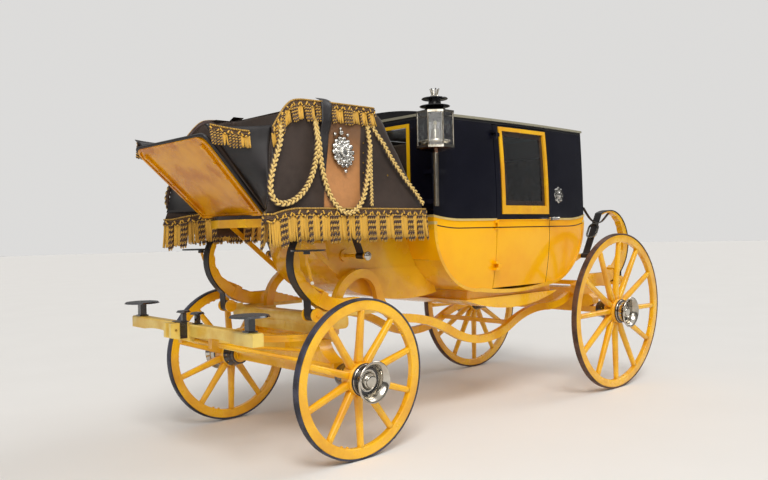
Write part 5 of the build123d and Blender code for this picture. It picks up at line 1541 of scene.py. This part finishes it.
def dress_nodes(bench: Bench) -> None:
    """Gives every carried-over node its finish."""
    for finish, names in FINISH_OF.items():
        for name in names:
            bench.dress(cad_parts[name], finish)
    for name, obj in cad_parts.items():
        LOG.info("node %s: %d faces%s", name, len(obj.data.polygons), ", replaced" if obj.hide_render else "")


# ---------------------------------------------------------------- studio


@dataclass
class Studio:
    """Pale floor, soft lamps and the camera."""

    place: Vec = (5.7324 - MID_X, 4.1594, 1.3619)
    yaw: float = -2.3144
    pitch: float = -0.0121
    roll: float = -0.0208
    lens: float = 35.45
    ambient: float = 0.42
    backdrop: float = 0.72

    def camera(self) -> None:
        """Camera from its yaw, pitch and roll: forward f, right r = f x Z, up u = r x f, both turned by the roll."""
        level = math.cos(self.pitch)
        forward = Vector((level * math.cos(self.yaw), level * math.sin(self.yaw), math.sin(self.pitch)))
        right = forward.cross(Vector((0, 0, 1))).normalized()
        up = right.cross(forward)
        c, s = math.cos(self.roll), math.sin(self.roll)
        data = bpy.data.cameras.new("photo_camera")
        data.lens, data.sensor_width, data.clip_end = self.lens, 36.0, 200.0
        obj = linked("photo_camera", data)
        matrix = Matrix((right * c + up * s, up * c - right * s, -forward)).transposed().to_4x4()
        matrix.translation = Vector(self.place)
        obj.matrix_world = matrix
        bpy.context.scene.camera = obj

    def lamp(self, name: str, kind: str, aim: Vec, power: float, tint: Vec) -> Piece:
        """Lamp of a kind that shines along a direction."""
        data = bpy.data.lights.new(name, kind)
        data.energy, data.color = power, tint
        obj = linked(name, data)
        obj.rotation_euler = Vector(aim).to_track_quat("-Z", "Y").to_euler()
        return obj

    def lights(self) -> None:
        """Window and room light, even over the whole floor, and one square soft lamp near the camera."""
        for name, aim, power, spread, tint in (("window", (-0.45, -0.62, -0.95), 1.55, 24, (1.0, 0.975, 0.93)),
                                               ("room", (0.9, -0.30, -0.80), 0.75, 30, (0.96, 0.98, 1.0))):
            self.lamp(name, "SUN", aim, power, tint).data.angle = math.radians(spread)
        near = self.lamp("near", "AREA", (-3.6, -3.6, -2.7), 55, (1.0, 0.97, 0.92))
        near.location, near.data.size = (3.9, 3.9, 3.6), 2.6

    def world(self) -> None:
        """World: pale to the camera and through glass; to gloss it brightens from a dim horizon to a pale ceiling."""
        world = bpy.data.worlds.new("pale_room")
        bpy.context.scene.world = world
        world.use_nodes = True
        board = Board(world.node_tree)
        path = board.node("LightPath").outputs
        up = board.node("SeparateXYZ", i0=board.node("TexCoord").outputs["Generated"]).outputs[2]
        seen = board.math("MAXIMUM", path["Is Camera Ray"], path["Is Transmission Ray"])
        gloss = board.between(up, 0.12, 0.85, 0.14, 0.85)
        shine = board.times(path["Is Glossy Ray"], board.math("SUBTRACT", gloss, self.ambient))
        shown = board.times(seen, self.backdrop - self.ambient)
        strength = board.math("ADD", board.math("ADD", shine, shown), self.ambient)
        board.fill(world.node_tree.nodes["Background"], Color=(1.0, 0.99, 0.975, 1.0), Strength=strength)

    def floor(self) -> None:
        """Pale floor: a wide disc with a faint mottle."""
        a = circle(64)[:, None]
        r = np.array([0.0, 4.0, 12.0, 60.0])[None]
        disc = np.stack([r * np.cos(a), r * np.sin(a), -0.0005 + 0 * a * r], -1)
        obj = Surface().grid(disc, close_u=True).make("floor")
        material = bpy.data.materials.new("pale_floor")
        material.use_nodes = True
        board = Board(material.node_tree)
        mottle = board.mix(board.noise(board.axes()[0], 1.3, 6.0), (0.80, 0.785, 0.765, 1), (0.84, 0.825, 0.805, 1))
        board.fill(board.tree.nodes["Principled BSDF"], Base_Color=mottle, Roughness=0.7, Specular_IOR_Level=0.2)
        obj.data.materials.append(material)

    def make(self) -> None:
        """Sets the stage."""
        self.camera()
        self.floor()
        self.world()
        self.lights()
        bpy.context.scene.view_settings.view_transform = "Standard"


def main() -> None:
    """Builds the scene in order."""
    logging.basicConfig(level=logging.INFO, format="%(name)s %(message)s")
    bench = Bench()
    Studio().make()
    for where, x, track, radius, spokes in (("front", KING_X, 0.748, 0.483, 10), ("rear", -MID_X, 0.806, 0.650, 12)):
        for hand in ("left", "right"):
            Wheel(where, hand, x, track, radius, spokes).make(bench)
    for group in (Hammercloth(), BoxFront(), Cabin(), Trim()):
        group.make(bench)
    dress_nodes(bench)


if __name__ == "__main__":
    main()
